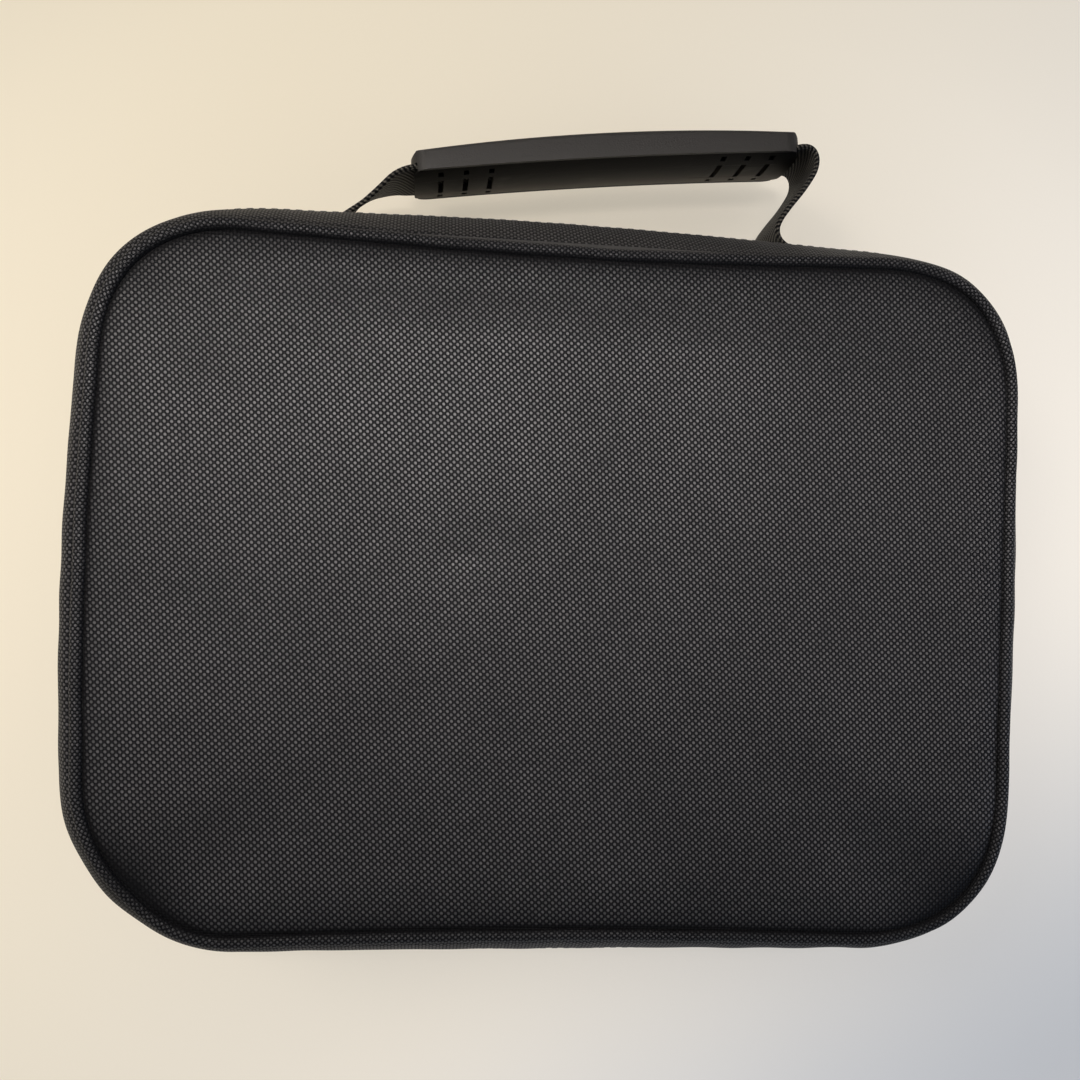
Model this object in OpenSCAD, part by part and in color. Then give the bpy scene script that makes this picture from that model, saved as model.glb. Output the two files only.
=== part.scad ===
// Zipped soft case with a moulded carry grip, holding a battery booster in a foam tray.
// X runs across the case, Y towards the handle, Z out of the front face.
// The case lies on its back panel: z = 0 is the flat of that panel.

/* [Case] */
// Width of the seam line that the piping follows
seam_w = 245; // [220:1:280]
// Height of the seam line that the piping follows
seam_h = 185; // [170:1:210]
// Corner radius of the seam line
seam_r = 40; // [30:1:50]
// Depth from the back panel to the crown of the front panel
case_d = 75; // [70:1:85]
// Height of the parting plane between the two rows of zip teeth
zip_z = 50; // [48:1:52]
// How far the side walls puff out beyond the seam line
wall_bulge = 9.5; // [8:0.5:11]
// Diameter of the fabric-covered piping
piping_d = 3.8; // [3.4:0.1:4.6]
// Thickness of the padded side wall
wall_t = 2.4; // [2:0.1:3]
// Thickness of the lining
lining_t = 0.8; // [0.5:0.1:1]
// Thickness of the stiffener boards
board_t = 1.3; // [1:0.1:1.6]
// Rise of the front panel's crown above its edge
front_crown = 1.6; // [1:0.1:2]
// Rise of the back panel's crown above its edge
back_crown = 1; // [0.6:0.1:1.4]

/* [Zip] */
// Height of tape that shows on each side of the teeth
tape_h = 6; // [5:0.5:7]
// Thickness of the zip tape
tape_t = 1.2; // [0.8:0.1:1.4]
// Height of each half row of teeth
teeth_h = 1.5; // [1.2:0.1:1.8]
// Thickness of the row of teeth
teeth_t = 2.6; // [2.2:0.1:3]
// Gap between the two half rows
teeth_gap = 1; // [0.8:0.1:1.2]
// How far the tape lies behind the outer face of the walls
tape_depth = 2.7; // [2.4:0.1:2.8]
// Length of a zip slider
slider_l = 11; // [10:0.5:12]
// Height of a slider's plates
slider_h = 9; // [8:0.5:10]
// Length of a pull tab from its pin
pull_l = 25; // [20:1:30]
// Width of a pull tab
pull_w = 7; // [6:0.5:8]

/* [Hinge] */
// Length of the fabric hinge panel
hinge_l = 156; // [140:1:160]

/* [Handle] */
// Width of the webbing
webbing_w = 25; // [22:1:26]
// Thickness of the webbing
webbing_t = 1.8; // [1.4:0.1:2]
// Distance from the centre to the inner end of each sewn patch
anchor_x = 62; // [58:1:64]
// Length of each sewn patch
anchor_l = 20; // [16:1:20]
// Height of the handle's centre line above the back
handle_z = 26; // [25:0.5:27]
// Length of the moulded grip
grip_l = 117; // [110:1:120]
// Width of the grip's cap
cap_w = 28; // [27.5:0.5:30]
// Thickness of the grip's cap outside the webbing
cap_t = 4; // [3.4:0.1:4.6]
// Depth of the palm plate from the webbing's line
palm_t = 2.9; // [2.6:0.1:3.4]
// Sideways lean of the grip
grip_x = 14.4; // [12:0.1:18]
// Distance from the centre of the case to the grip's line
grip_y = 127.6; // [125:0.1:128.5]
// Tilt of the grip in the plane of the case, degrees
grip_tilt = 6.8; // [4:0.1:8]

/* [Booster] */
// Length of the booster
booster_l = 172; // [165:1:174]
// Width of the booster
booster_w = 84; // [80:1:86]
// Thickness of the booster
booster_h = 36; // [35:0.5:36]
// Thickness of the booster's moulded shell
shell_t = 2.2; // [2:0.1:2.4]
// Radius of the power button
button_r = 8; // [7:0.5:9]

/* [Hidden] */

eps = 0.05;                                  // overlap of cutting tools with the faces they cut
gap = 0.3;                                   // clearance between parts that move apart
panel_t = 2.6;                               // edge thickness of the padded panels
panel_inset = piping_d/2 + 0.1;              // panel edge, measured in from the seam line
piping_z = piping_d/2 + 0.6;                 // piping centre, measured in from the face
wall_foot = piping_z + piping_d/2 + 0.1;     // where the wall leaves the piping
zip_half = teeth_gap/2 + teeth_h + tape_h;   // from the parting plane to the edge of a wall
base_top = zip_z - zip_half;                 // zip edge of the base wall
lid_top = case_d - zip_z - zip_half;         // zip edge of the lid wall, measured from the front
tape_off = wall_bulge - tape_depth - tape_t; // inner face of the tape beyond the seam line
teeth_off = tape_off + tape_t/2 - teeth_t/2; // inner face of the teeth beyond the seam line
side_x = seam_w/2 + wall_bulge;              // outer face of the right wall
side_y = seam_h/2 + wall_bulge;              // outer face of the handle wall
hinge_y = -side_y - gap;                     // line that the lid swings about
lining_z = panel_t + board_t + 0.2;          // outer side of the lining, from the face
pocket_z = lining_z + lining_t;              // inner side of the lining, from the face

puff_h = 9.1;                                // height over which a wall puffs out
PUFF_STEPS = 8;

// Outer face of a wall as [distance beyond the seam line, height], from its foot to full puff,
// moved inwards by d along its own normal
function puff(i, d = 0) = let (
    a = 90*i/PUFF_STEPS,
    out = wall_bulge - 1,
    n = [-puff_h*sin(a), out*cos(a)]
) [1 + out*sin(a), wall_foot + puff_h*(1 - cos(a))] + d*n/norm(n);
function puff_line(d) = [for (i = [0:PUFF_STEPS]) puff(i, d)];
function reversed(list) = [for (i = [len(list) - 1:-1:0]) list[i]];

module at_front() translate([0, 0, case_d]) mirror([0, 0, 1]) children();

function about(c, d) = [c - d, c + d];
module box(x, y, z) translate([x[0], y[0], z[0]]) cube([x[1] - x[0], y[1] - y[0], z[1] - z[0]]);

module rounded(w, h, r, n = 96) {
    square([w - 2*r, h], center = true);
    square([w, h - 2*r], center = true);
    for (x = [-1, 1], y = [-1, 1]) translate([x*(w/2 - r), y*(h/2 - r)]) circle(r, $fn = n);
}

// The case's outline, off millimetres outside the seam line
module outline(off, n = 96) rounded(seam_w + 2*off, seam_h + 2*off, seam_r + off, n);

module slab(off, z0, z1) translate([0, 0, z0]) linear_extrude(z1 - z0) outline(off);

module band(off, t, z0, z1) translate([0, 0, z0]) linear_extrude(z1 - z0) difference() {
    outline(off + t);
    outline(off);
}

// Sweeps a section round the seam line: section x is the distance beyond the line, section y is height
module sweep() {
    x = seam_w/2 - seam_r;
    y = seam_h/2 - seam_r;
    for (c = [[x, y, 0], [-x, y, 90], [-x, -y, 180], [x, -y, 270]])
        translate([c[0], c[1], 0]) rotate(c[2])
            rotate_extrude(angle = 90, $fn = 96) translate([seam_r, 0]) children();
    for (c = [[seam_w/2, y, 0], [seam_h/2, x, 90], [seam_w/2, y, 180], [seam_h/2, x, 270]])
        rotate(c[2]) translate([c[0], c[1], 0]) rotate([90, 0, 0]) linear_extrude(2*c[1]) children();
}

// Side wall of one half, drawn face down, with a seam allowance that lies on the piping
module half_wall(top) sweep() polygon(concat(
    [[-panel_inset + 0.1, wall_foot + wall_t], [-panel_inset + 0.1, wall_foot]],
    puff_line(0),
    [[wall_bulge, top], [wall_bulge - wall_t, top]],
    reversed(puff_line(wall_t))));

// Lining of one half: a floor, and a wall that follows the padded wall inside
lining_d = wall_t + 0.1;
lining_edge = -panel_inset - 0.1;
module half_lining(top) {
    slab(lining_edge - lining_t + eps, lining_z, pocket_z);
    sweep() polygon(concat(
        [[lining_edge, lining_z], [lining_edge, wall_foot + lining_d]],
        puff_line(lining_d),
        [[wall_bulge - lining_d, top], [wall_bulge - lining_d - lining_t, top]],
        reversed(puff_line(lining_d + lining_t)),
        [[lining_edge - lining_t, wall_foot + lining_d + lining_t], [lining_edge - lining_t, lining_z]]));
}

// Padded panel of one half with a shallow crown, drawn face down
crown_run = 9;
module half_panel(crown) {
    slab(-panel_inset - crown_run, 0, panel_t);
    sweep() polygon([
        [-panel_inset - crown_run - eps, 0], [-panel_inset - crown_run, 0], [-panel_inset, crown],
        [-panel_inset, panel_t], [-panel_inset - crown_run - eps, panel_t],
    ]);
}

// Piping: a round cord swept round the seam line
module half_piping() translate([0, 0, piping_z]) sweep() circle(piping_d/2, $fn = 32);

// Cutter that opens the zip's rings along the hinge
module hinge_cut(half_l, z0, z1) box([-half_l, half_l], [-side_y - 5, -seam_h/2 + 5], [z0, z1]);

module zip_ring(off, t, z0, z1) difference() {
    band(off, t, z0, z1);
    hinge_cut(hinge_l/2 + 6, z0 - 1, z1 + 1);
}

module lid_face_panel() color("#2b2b2d") at_front() half_panel(front_crown);

module base_back_panel() color("#2b2b2d") half_panel(back_crown);

module lid_stiffener_board() color("#8a8070") at_front()
    slab(-panel_inset, panel_t, panel_t + board_t);

module base_stiffener_board() color("#8a8070") slab(-panel_inset, panel_t, panel_t + board_t);

module lid_wall() color("#262628") at_front() half_wall(lid_top);

module base_wall() color("#262628") half_wall(base_top);

module lid_piping() color("#303033") at_front() half_piping();

module base_piping() color("#303033") half_piping();

module lid_lining() color("#3a3a3c") at_front() half_lining(lid_top);

module base_lining() color("#3a3a3c") half_lining(base_top);

// Tape that binds the raw edges inside, round the edge of the lining's floor
module half_binding() band(-panel_inset - 2.6, 1.4, pocket_z, pocket_z + 3);

module lid_seam_binding() color("#1e1e20") at_front() half_binding();

module base_seam_binding() color("#1e1e20") half_binding();

module lid_zip_tape() color("#1c1c1e") zip_ring(tape_off, tape_t, zip_z + teeth_gap/2 + teeth_h,
                                                zip_z + zip_half);

module base_zip_tape() color("#1c1c1e") zip_ring(tape_off, tape_t, base_top, base_top + tape_h);

module lid_zip_teeth() color("#101012") zip_ring(teeth_off, teeth_t, zip_z + teeth_gap/2,
                                                 zip_z + teeth_gap/2 + teeth_h);

module base_zip_teeth() color("#101012") zip_ring(teeth_off, teeth_t, base_top + tape_h,
                                                  base_top + tape_h + teeth_h);

// Shallow pouch of netting on the lid's lining, open towards the handle
mesh_w = 210;
mesh_h = 140;
mesh_t = 0.8;
mesh_depth = 8;
module lid_mesh_pocket() color("#4a4a4c") at_front() {
    z0 = pocket_z;
    z1 = pocket_z + mesh_depth;
    box([-mesh_w/2, mesh_w/2], [-mesh_h/2, mesh_h/2], [z1, z1 + mesh_t]);
    box([-mesh_w/2, mesh_w/2], [-mesh_h/2, -mesh_h/2 + mesh_t], [z0, z1 + eps]);
    for (s = [-1, 1]) translate([s*(mesh_w - mesh_t)/2, 0, 0])
        box([-mesh_t/2, mesh_t/2], [-mesh_h/2, mesh_h/2], [z0, z1 + eps]);
}

module mesh_pocket_elastic() color("#111113") at_front()
    box([-mesh_w/2, mesh_w/2], [mesh_h/2, mesh_h/2 + 6],
        [pocket_z + mesh_depth - 0.4, pocket_z + mesh_depth + 1.2]);

// Fabric strip that joins the halves along the hinge, one half on each side of the fold
module hinge_strip(z0, z1) box([-hinge_l/2, hinge_l/2],
                               [-seam_h/2 - tape_off - tape_t - 0.3, -seam_h/2 - tape_off], [z0, z1]);

module hinge_panel_upper() color("#242426") hinge_strip(zip_z + 0.4, zip_z + zip_half);

module hinge_panel_lower() color("#242426") hinge_strip(base_top, zip_z - 0.4);

// Folded tabs that close the two ends of the zip
module zip_end_tabs() color("#1a1a1c") for (s = [-1, 1])
    translate([s*(hinge_l/2 + 3.1), -seam_h/2 - tape_off - tape_t/2, 0])
        box([-2.7, 2.7], [-1.1, 1.1], [base_top, zip_z - 0.6]);

// Sewn end of the webbing, flat on the handle wall
module patch(side) box(side > 0 ? [anchor_x, anchor_x + anchor_l] : [-anchor_x - anchor_l, -anchor_x],
                       [side_y, side_y + webbing_t], about(handle_z, webbing_w/2));

module webbing_patch_left() color("#232325") patch(-1);

module webbing_patch_right() color("#232325") patch(1);

// Foam tray with a pocket for the booster, one for the leads and one for the charger
tray_z = pocket_z + 0.2;
tray_off = -panel_inset - 3;
tray_lip = wall_foot + lining_d + lining_t + 0.2;
tray_top = 44;
floor_z = 8;
booster_x = -22;
booster_y = -38;
wall_between = 8;
pocket_r = 14;
booster_room = 1.2;
lead_y = [booster_y + booster_w/2 + booster_room + wall_between, 78];
charger_x = [booster_x + booster_l/2 + booster_room + wall_between, 107];
module pocket(x, y) translate([(x[0] + x[1])/2, (y[0] + y[1])/2, floor_z])
    linear_extrude(tray_top) rounded(x[1] - x[0], y[1] - y[0], pocket_r/2);
module foam_tray() color("#39393b") difference() {
    union() {
        slab(tray_off, tray_z, tray_top);
        sweep() polygon([
            [tray_off - eps, tray_lip], [tray_off, tray_lip], [wall_bulge - 7, tray_lip + 1.6],
            [wall_bulge - 5, wall_foot + puff_h], [wall_bulge - 5, tray_top], [tray_off - eps, tray_top],
        ]);
    }
    translate([booster_x, booster_y, floor_z]) linear_extrude(tray_top)
        rounded(booster_l + 2*booster_room, booster_w + 2*booster_room, pocket_r);
    pocket([-107, 107], lead_y);
    pocket(charger_x, [booster_y - booster_w/2, booster_y + booster_w/2]);
    // thumb gap over the booster's long side and room for its port cover
    box([booster_x - 16, booster_x + 16], [booster_y, lead_y[0] + 2], [floor_z + 14, tray_top + 1]);
    box([booster_x + booster_l/2 - 2, charger_x[0] + 2], about(booster_y + 2, 29), [floor_z, tray_top + 1]);
}

// Point on a cubic curve
function bezier(p, t) = pow(1 - t, 3)*p[0] + 3*t*pow(1 - t, 2)*p[1] + 3*t*t*(1 - t)*p[2] + pow(t, 3)*p[3];
function slope(p, t) = 3*pow(1 - t, 2)*(p[1] - p[0]) + 6*t*(1 - t)*(p[2] - p[1]) + 3*t*t*(p[3] - p[2]);
function side(p, t, d) = let (v = slope(p, t)) bezier(p, t) + d*[-v[1], v[0]]/norm(v);
// One strap in plan: from the wall along the curve p to the grip, and back to the wall along q
module strap(p, q, n = 14) polygon([
    for (i = [0:n]) side(p, i/n, webbing_t/2),
    for (i = [n:-1:0]) side(q, i/n, -webbing_t/2),
    for (i = [0:n]) side(q, i/n, webbing_t/2),
    for (i = [n:-1:0]) side(p, i/n, -webbing_t/2),
]);

// Places its children at the grip: X along the grip, Y away from the case
module at_grip() translate([grip_x, grip_y, handle_z]) rotate([0, 0, grip_tilt]) children();
function on_grip(x) = [grip_x, grip_y] + x*[cos(grip_tilt), sin(grip_tilt)];

swing_y = side_y + webbing_t + gap;
swing_range = 35;
// The straps are cut to a wedge at the wall, so that they clear it when the handle swings
module swing_room() for (s = [-1, 1]) translate([0, swing_y, handle_z]) rotate([-s*(swing_range + 1), 0, 0])
    translate([-150, -100, s > 0 ? 0 : -100]) cube([300, 100, 100]);

strap_root = 1.2;
module handle_webbing() color("#232325") difference() {
    translate([0, 0, handle_z - webbing_w/2]) linear_extrude(webbing_w) strap(
        [[-anchor_x, swing_y + strap_root], [-anchor_x + 4, swing_y + 9],
         on_grip(-grip_l/2 - 10), on_grip(-grip_l/2)],
        [[anchor_x, swing_y + strap_root], [anchor_x + 11, swing_y + 15],
         on_grip(grip_l/2 + 13), on_grip(grip_l/2)]);
    swing_room();
}

// Outline of the grip seen along its webbing's width, with chamfered ends
module grip_side(l, y0, y1, cut) polygon([
    [-l/2 + cut, y1], [-l/2, y1 - cut], [-l/2, y0], [l/2, y0], [l/2, y1 - cut], [l/2 - cut, y1],
]);

cap_y = webbing_t/2 + 0.1;
channel_w = webbing_w + 0.4;
rim_y = 1.7;
edge_r = 1.2;
// The cap is a channel: a back outside the webbing, and rims past the webbing's edges
module grip_cap() color("#2e2e30") at_grip() difference() {
    intersection() {
        translate([0, 0, -cap_w/2]) linear_extrude(cap_w) grip_side(grip_l, -rim_y, cap_y + cap_t, 1.6);
        translate([0, -rim_y - 1, 0]) rotate([-90, 0, 0]) linear_extrude(rim_y + cap_y + cap_t + 2) rounded(grip_l, cap_w, 5);
        translate([-grip_l/2, 0, 0]) rotate([90, 0, 90]) linear_extrude(grip_l) {
            translate([cap_y + cap_t - edge_r, -cap_w/2 + edge_r]) square([edge_r, cap_w - 2*edge_r]);
            translate([-rim_y, -cap_w/2]) square([rim_y + cap_y + cap_t - edge_r, cap_w]);
            for (s = [-1, 1]) translate([cap_y + cap_t - edge_r, s*(cap_w/2 - edge_r)]) circle(edge_r, $fn = 40);
        }
    }
    box([-grip_l, grip_l], [-rim_y - 1, cap_y], about(0, channel_w/2));
}

palm_gap = 0.03;
palm_dome = 1.2;
slot_pitch = 7.5;
slot_w = 1.6;
// The palm plate closes the channel; its face swells a little and has slots near both ends
module grip_palm() color("#2a2a2c") at_grip() difference() {
    intersection() {
        translate([-grip_l/2, 0, 0]) rotate([90, 0, 90]) linear_extrude(grip_l) let (h = channel_w/2 - palm_gap) polygon([
            [-cap_y, -h], for (i = [-14:14]) [-palm_t + palm_dome*pow(abs(i/14), 2.2), h*i/14], [-cap_y, h],
        ]);
        translate([0, -palm_t - 1, 0]) rotate([-90, 0, 0]) linear_extrude(palm_t + 1) rounded(grip_l - 1, channel_w, 4);
    }
    // three slots across each end, each with a short one above and below it
    for (s = [-1, 1], i = [0:2]) translate([s*(grip_l/2 - 8.4 - i*slot_pitch), 0, 0]) {
        box([-slot_w/2, slot_w/2], [-palm_t - 1, 0], [-5.4, 5.4]);
        for (t = [-1, 1]) box([-slot_w/2, slot_w/2], [-palm_t - 1, 0], about(t*9.4, 1.4));
    }
}

// Zip slider on the right wall; its nose points towards -Y
module slider() {
    x_out = slider_x;
    x_in = seam_w/2 + tape_off - 2.1;
    z = about(zip_z, slider_h/2);
    box([x_out, x_out + plate], [-slider_l/2, slider_l/2], z);
    box([x_in, x_in + plate], [-slider_l/2, slider_l/2], z);
    // web between the half rows at the nose
    box([x_in, x_out + plate], [-slider_l/2, -slider_l/2 + 3], about(zip_z, 0.2));
    // flanges that hold the lower half row
    box([seam_w/2 + tape_off + tape_t + gap, x_out + eps], [-slider_l/2, slider_l/2], [z[0], z[0] + 1.2]);
    box([x_in + plate - eps, seam_w/2 + tape_off - gap], [-slider_l/2, slider_l/2], [z[0], z[0] + 1.2]);
    // lugs and pin for the pull tab
    for (s = [-1, 1]) translate([0, 0, zip_z + s*2.8])
        box([x_out + plate - eps, pin_x + 1.1], [-1.4, 1.4], [-0.6, 0.6]);
    translate([pin_x, 0, zip_z - 3.4]) cylinder(h = 6.8, r = pin_r, $fn = 48);
}
plate = 1.1;
slider_x = seam_w/2 + teeth_off + teeth_t + gap;
pin_x = slider_x + plate + 2;
pin_r = 0.8;
slider_y = slider_l/2 + 0.4;

module pull() {
    eye_h = 4;
    difference() {
        union() {
            translate([pin_x, 0, zip_z - eye_h/2]) cylinder(h = eye_h, r = 1.8, $fn = 48);
            box(about(pin_x, 0.9), [0, 6], about(zip_z, eye_h/2));
            box(about(pin_x, 0.9), [5, pull_l], about(zip_z, pull_w/2));
        }
        translate([pin_x, 0, zip_z - eye_h]) cylinder(h = 2*eye_h, r = pin_r + 0.06, $fn = 48);
        // thumb recess in the tab's outer face
        box([pin_x + 0.4, pin_x + 1.5], [8, pull_l - 3], about(zip_z, pull_w/2 - 1.5));
    }
}

module zip_slider_upper() color("#3c3c3e") translate([0, slider_y, 0]) slider();

module zip_slider_lower() color("#3c3c3e") mirror([0, 1, 0]) translate([0, slider_y, 0]) slider();

module zip_pull_upper() color("#48484a") translate([0, slider_y, 0]) pull();

module zip_pull_lower() color("#48484a") mirror([0, 1, 0]) translate([0, slider_y, 0]) pull();

// The booster lies in its own frame: x along it, z = 0 under its bumpers
module at_booster() translate([booster_x, booster_y, floor_z]) children();

skin = 2;                                    // rubber round the shell's ends
shell_l = booster_l - 2*skin;
shell_w = booster_w - 2*skin;
shell_r = 12;
shell_z = [1, booster_h - 1];
mid_z = booster_h/2;
boss_x = 70;
boss_y = 33;
post_x = 71;
post_y = 18;
board_z = 24;
button_x = -30;
bumper_x = 62;
socket_y = -13;
usb_y = 13.5;
socket_z = mid_z;
module bosses(z, r) for (x = [-1, 1], y = [-1, 1])
    translate([x*boss_x, y*boss_y, z[0]]) cylinder(h = z[1] - z[0], r = r, $fn = 48);

module end_cuts() {
    box([shell_l/2 - 20, booster_l], about(socket_y, 10), about(socket_z, 6.3));
    box([shell_l/2 - 20, booster_l], about(usb_y, 15.3), about(socket_z, 4.3));
    translate([-booster_l, 0, mid_z]) rotate([0, 90, 0]) cylinder(h = booster_l/2 + 20, r = 9.3, $fn = 64);
}

module booster_shell_bottom() color("#34363a") at_booster() difference() {
    union() {
        difference() {
            translate([0, 0, shell_z[0]]) linear_extrude(mid_z - shell_z[0])
                rounded(shell_l, shell_w, shell_r);
            translate([0, 0, shell_z[0] + shell_t]) linear_extrude(mid_z)
                rounded(shell_l - 2*shell_t, shell_w - 2*shell_t, shell_r - shell_t);
        }
        bosses([shell_z[0], mid_z], 3.6);
        for (y = [-1, 1]) translate([-post_x, y*post_y, shell_z[0]])
            cylinder(h = board_z - shell_z[0], r = 2, $fn = 32);
    }
    bosses([0, mid_z + 1], 1.55);
    bosses([0, shell_z[0] + 2.6], 3);
    end_cuts();
}

module booster_shell_top() color("#34363a") at_booster() difference() {
    union() {
        difference() {
            translate([0, 0, mid_z]) linear_extrude(shell_z[1] - mid_z) rounded(shell_l, shell_w, shell_r);
            translate([0, 0, mid_z - eps]) linear_extrude(shell_z[1] - shell_t - mid_z + eps)
                rounded(shell_l - 2*shell_t, shell_w - 2*shell_t, shell_r - shell_t);
        }
        bosses([mid_z, shell_z[1]], 3.6);
    }
    bosses([mid_z - 1, mid_z + 9], 1.3);
    translate([button_x, 0, mid_z]) cylinder(h = booster_h, r = button_r + gap, $fn = 96);
    for (i = [0:3]) translate([button_x + 16 + 7*i, 0, mid_z]) cylinder(h = booster_h, r = 1.5, $fn = 48);
    end_cuts();
}

module bumper() difference() {
    linear_extrude(booster_h) rounded(booster_l, booster_w, pocket_r);
    translate([0, 0, shell_z[0]]) linear_extrude(shell_z[1] - shell_z[0]) rounded(shell_l, shell_w, shell_r);
    box([-booster_l, bumper_x], [-booster_w, booster_w], [-1, booster_h + 1]);
    children();
}

module booster_bumper_right() color("#1b1b1c") at_booster() bumper() {
    end_cuts();
    bosses([-1, 3], 3);
}

module booster_bumper_left() color("#1b1b1c") at_booster() mirror([1, 0, 0]) bumper() {
    mirror([1, 0, 0]) end_cuts();
    bosses([-1, 3], 3);
}

// Four flat cells in two stacks
cell = [62, 54, 9];
module booster_cells() color("#9aa0a6") at_booster() for (s = [-1, 1], i = [0, 1])
    translate([s*(cell[0] + 1)/2, 0, shell_z[0] + shell_t + 0.1 + i*(cell[2] + 0.3)])
        translate([-cell[0]/2, -cell[1]/2, 0]) cube(cell);

// Board on two posts and the socket, with its switching block, coil and push switch
module booster_circuit_board() color("#1f6b3a") at_booster() {
    box([-73.5, 78], [-22, 22], [board_z, board_z + 1.6]);
    box([30, 56], [-16, 8], [board_z + 1.6 - eps, board_z + 6.6]);
    box([-8, 6], [-14, 0], [board_z + 1.6 - eps, board_z + 5.6]);
    box([button_x - 3, button_x + 3], [-3, 3], [board_z + 1.6 - eps, board_z + 5]);
}

// Output socket: a block with two shallow contact wells and their pins
module booster_socket() color("#2c4a7a") at_booster() difference() {
    box([shell_l/2 - 19, booster_l/2 - 0.3], about(socket_y, 9.7), about(socket_z, 6));
    for (s = [-1, 1]) translate([booster_l/2 - 9, socket_y + s*5, socket_z]) rotate([0, 90, 0]) difference() {
        cylinder(h = 10, r = 3.9, $fn = 48);
        cylinder(h = 8, r = 2.1, $fn = 48);
    }
}

// Two charging ports, each a frame with a tongue
module booster_usb_ports() color("#b4b7ba") at_booster() for (s = [-1, 1]) translate([0, usb_y + s*7.5, 0]) {
    difference() {
        box([shell_l/2 - 12, booster_l/2 - 0.6], [-6.9, 6.9], about(socket_z, 3.2));
        box([shell_l/2 - 10, booster_l/2], [-6.3, 6.3], about(socket_z, 2.5));
    }
    box([shell_l/2 - 10.2, booster_l/2 - 1.6], [-5.6, 5.6], [socket_z - 0.2, socket_z + 1.6]);
}

// Torch at the left end: a dished reflector behind a clear window
module booster_torch_reflector() color("#d8dadc") at_booster() translate([-booster_l/2 + 3.4, 0, mid_z])
    rotate([0, 90, 0]) difference() {
        cylinder(h = 8, r = 9, $fn = 64);
        translate([0, 0, -eps]) cylinder(h = 6.5, r1 = 8.2, r2 = 2.4, $fn = 64);
    }

module booster_torch_lens() color("#e8f0f4") at_booster() translate([-booster_l/2 + 1.2, 0, mid_z])
    rotate([0, 90, 0]) cylinder(h = 2.2, r = 9, $fn = 64);

module booster_charge_lights() color("#cfe8d8") at_booster() for (i = [0:3])
    translate([button_x + 16 + 7*i, 0, shell_z[1] - shell_t - 0.6])
        cylinder(h = shell_t + 0.7, r = 1.4, $fn = 48);

module booster_screws() color("#9c9c9e") at_booster() for (x = [-1, 1], y = [-1, 1])
    translate([x*boss_x, y*boss_y, 0]) difference() {
        union() {
            translate([0, 0, 1.2]) cylinder(h = 2.4, r = 2.8, $fn = 48);
            translate([0, 0, 3]) cylinder(h = mid_z + 4, r = 1.25, $fn = 32);
        }
        translate([0, 0, 1]) cylinder(h = 1.4, r = 1.3, $fn = 6);
    }

module booster_power_button() color("#c8452e") at_booster() translate([button_x, 0, 0]) {
    translate([0, 0, shell_z[1] - shell_t - 0.4]) cylinder(h = shell_t + 1.4, r = button_r, $fn = 96);
    translate([0, 0, board_z + 1.6 + 3.4 + 1.3]) cylinder(h = 5, r = 1.5, $fn = 48);
}

// Rubber cover over the charging ports, hinged along its upper edge
cover_z = socket_z + 6.4;
module booster_port_cover() color("#1b1b1c") at_booster() {
    box([booster_l/2 + gap, booster_l/2 + gap + 1.6], about(usb_y, 15.4), [socket_z - 5.4, cover_z]);
    translate([booster_l/2 + gap + 0.8, usb_y - 15.4, cover_z]) rotate([-90, 0, 0])
        cylinder(h = 30.8, r = 0.8, $fn = 32);
}

lid_face_panel();
lid_stiffener_board();
lid_wall();
lid_piping();
lid_seam_binding();
lid_lining();
lid_zip_tape();
lid_zip_teeth();
lid_mesh_pocket();
mesh_pocket_elastic();
hinge_panel_upper();
base_back_panel();
base_stiffener_board();
base_wall();
base_piping();
base_seam_binding();
base_lining();
base_zip_tape();
base_zip_teeth();
hinge_panel_lower();
zip_end_tabs();
webbing_patch_left();
webbing_patch_right();
foam_tray();
handle_webbing();
grip_cap();
grip_palm();
zip_slider_upper();
zip_slider_lower();
zip_pull_upper();
zip_pull_lower();
booster_shell_bottom();
booster_shell_top();
booster_bumper_left();
booster_bumper_right();
booster_cells();
booster_circuit_board();
booster_socket();
booster_usb_ports();
booster_torch_reflector();
booster_torch_lens();
booster_charge_lights();
booster_screws();
booster_power_button();
booster_port_cover();
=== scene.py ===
from math import pi, radians

import bmesh
import bpy
import numpy as np
from mathutils import Matrix, Vector


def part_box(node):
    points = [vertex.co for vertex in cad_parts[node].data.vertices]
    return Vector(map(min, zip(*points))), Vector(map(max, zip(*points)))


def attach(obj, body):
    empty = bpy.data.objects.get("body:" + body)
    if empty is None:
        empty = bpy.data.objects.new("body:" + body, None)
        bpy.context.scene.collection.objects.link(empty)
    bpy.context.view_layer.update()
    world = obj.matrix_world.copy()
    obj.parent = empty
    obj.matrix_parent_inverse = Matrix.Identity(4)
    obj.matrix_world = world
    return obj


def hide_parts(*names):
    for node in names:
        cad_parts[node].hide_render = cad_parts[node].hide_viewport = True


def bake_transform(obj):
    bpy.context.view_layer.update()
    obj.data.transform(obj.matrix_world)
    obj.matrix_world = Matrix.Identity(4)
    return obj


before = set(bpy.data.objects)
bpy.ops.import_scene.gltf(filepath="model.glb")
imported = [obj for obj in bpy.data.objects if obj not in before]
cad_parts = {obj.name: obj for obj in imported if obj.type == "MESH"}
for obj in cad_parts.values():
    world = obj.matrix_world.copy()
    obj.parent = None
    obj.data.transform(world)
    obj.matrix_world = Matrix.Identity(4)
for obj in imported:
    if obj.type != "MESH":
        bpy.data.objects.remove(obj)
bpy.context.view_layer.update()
MM = 0.001

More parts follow.
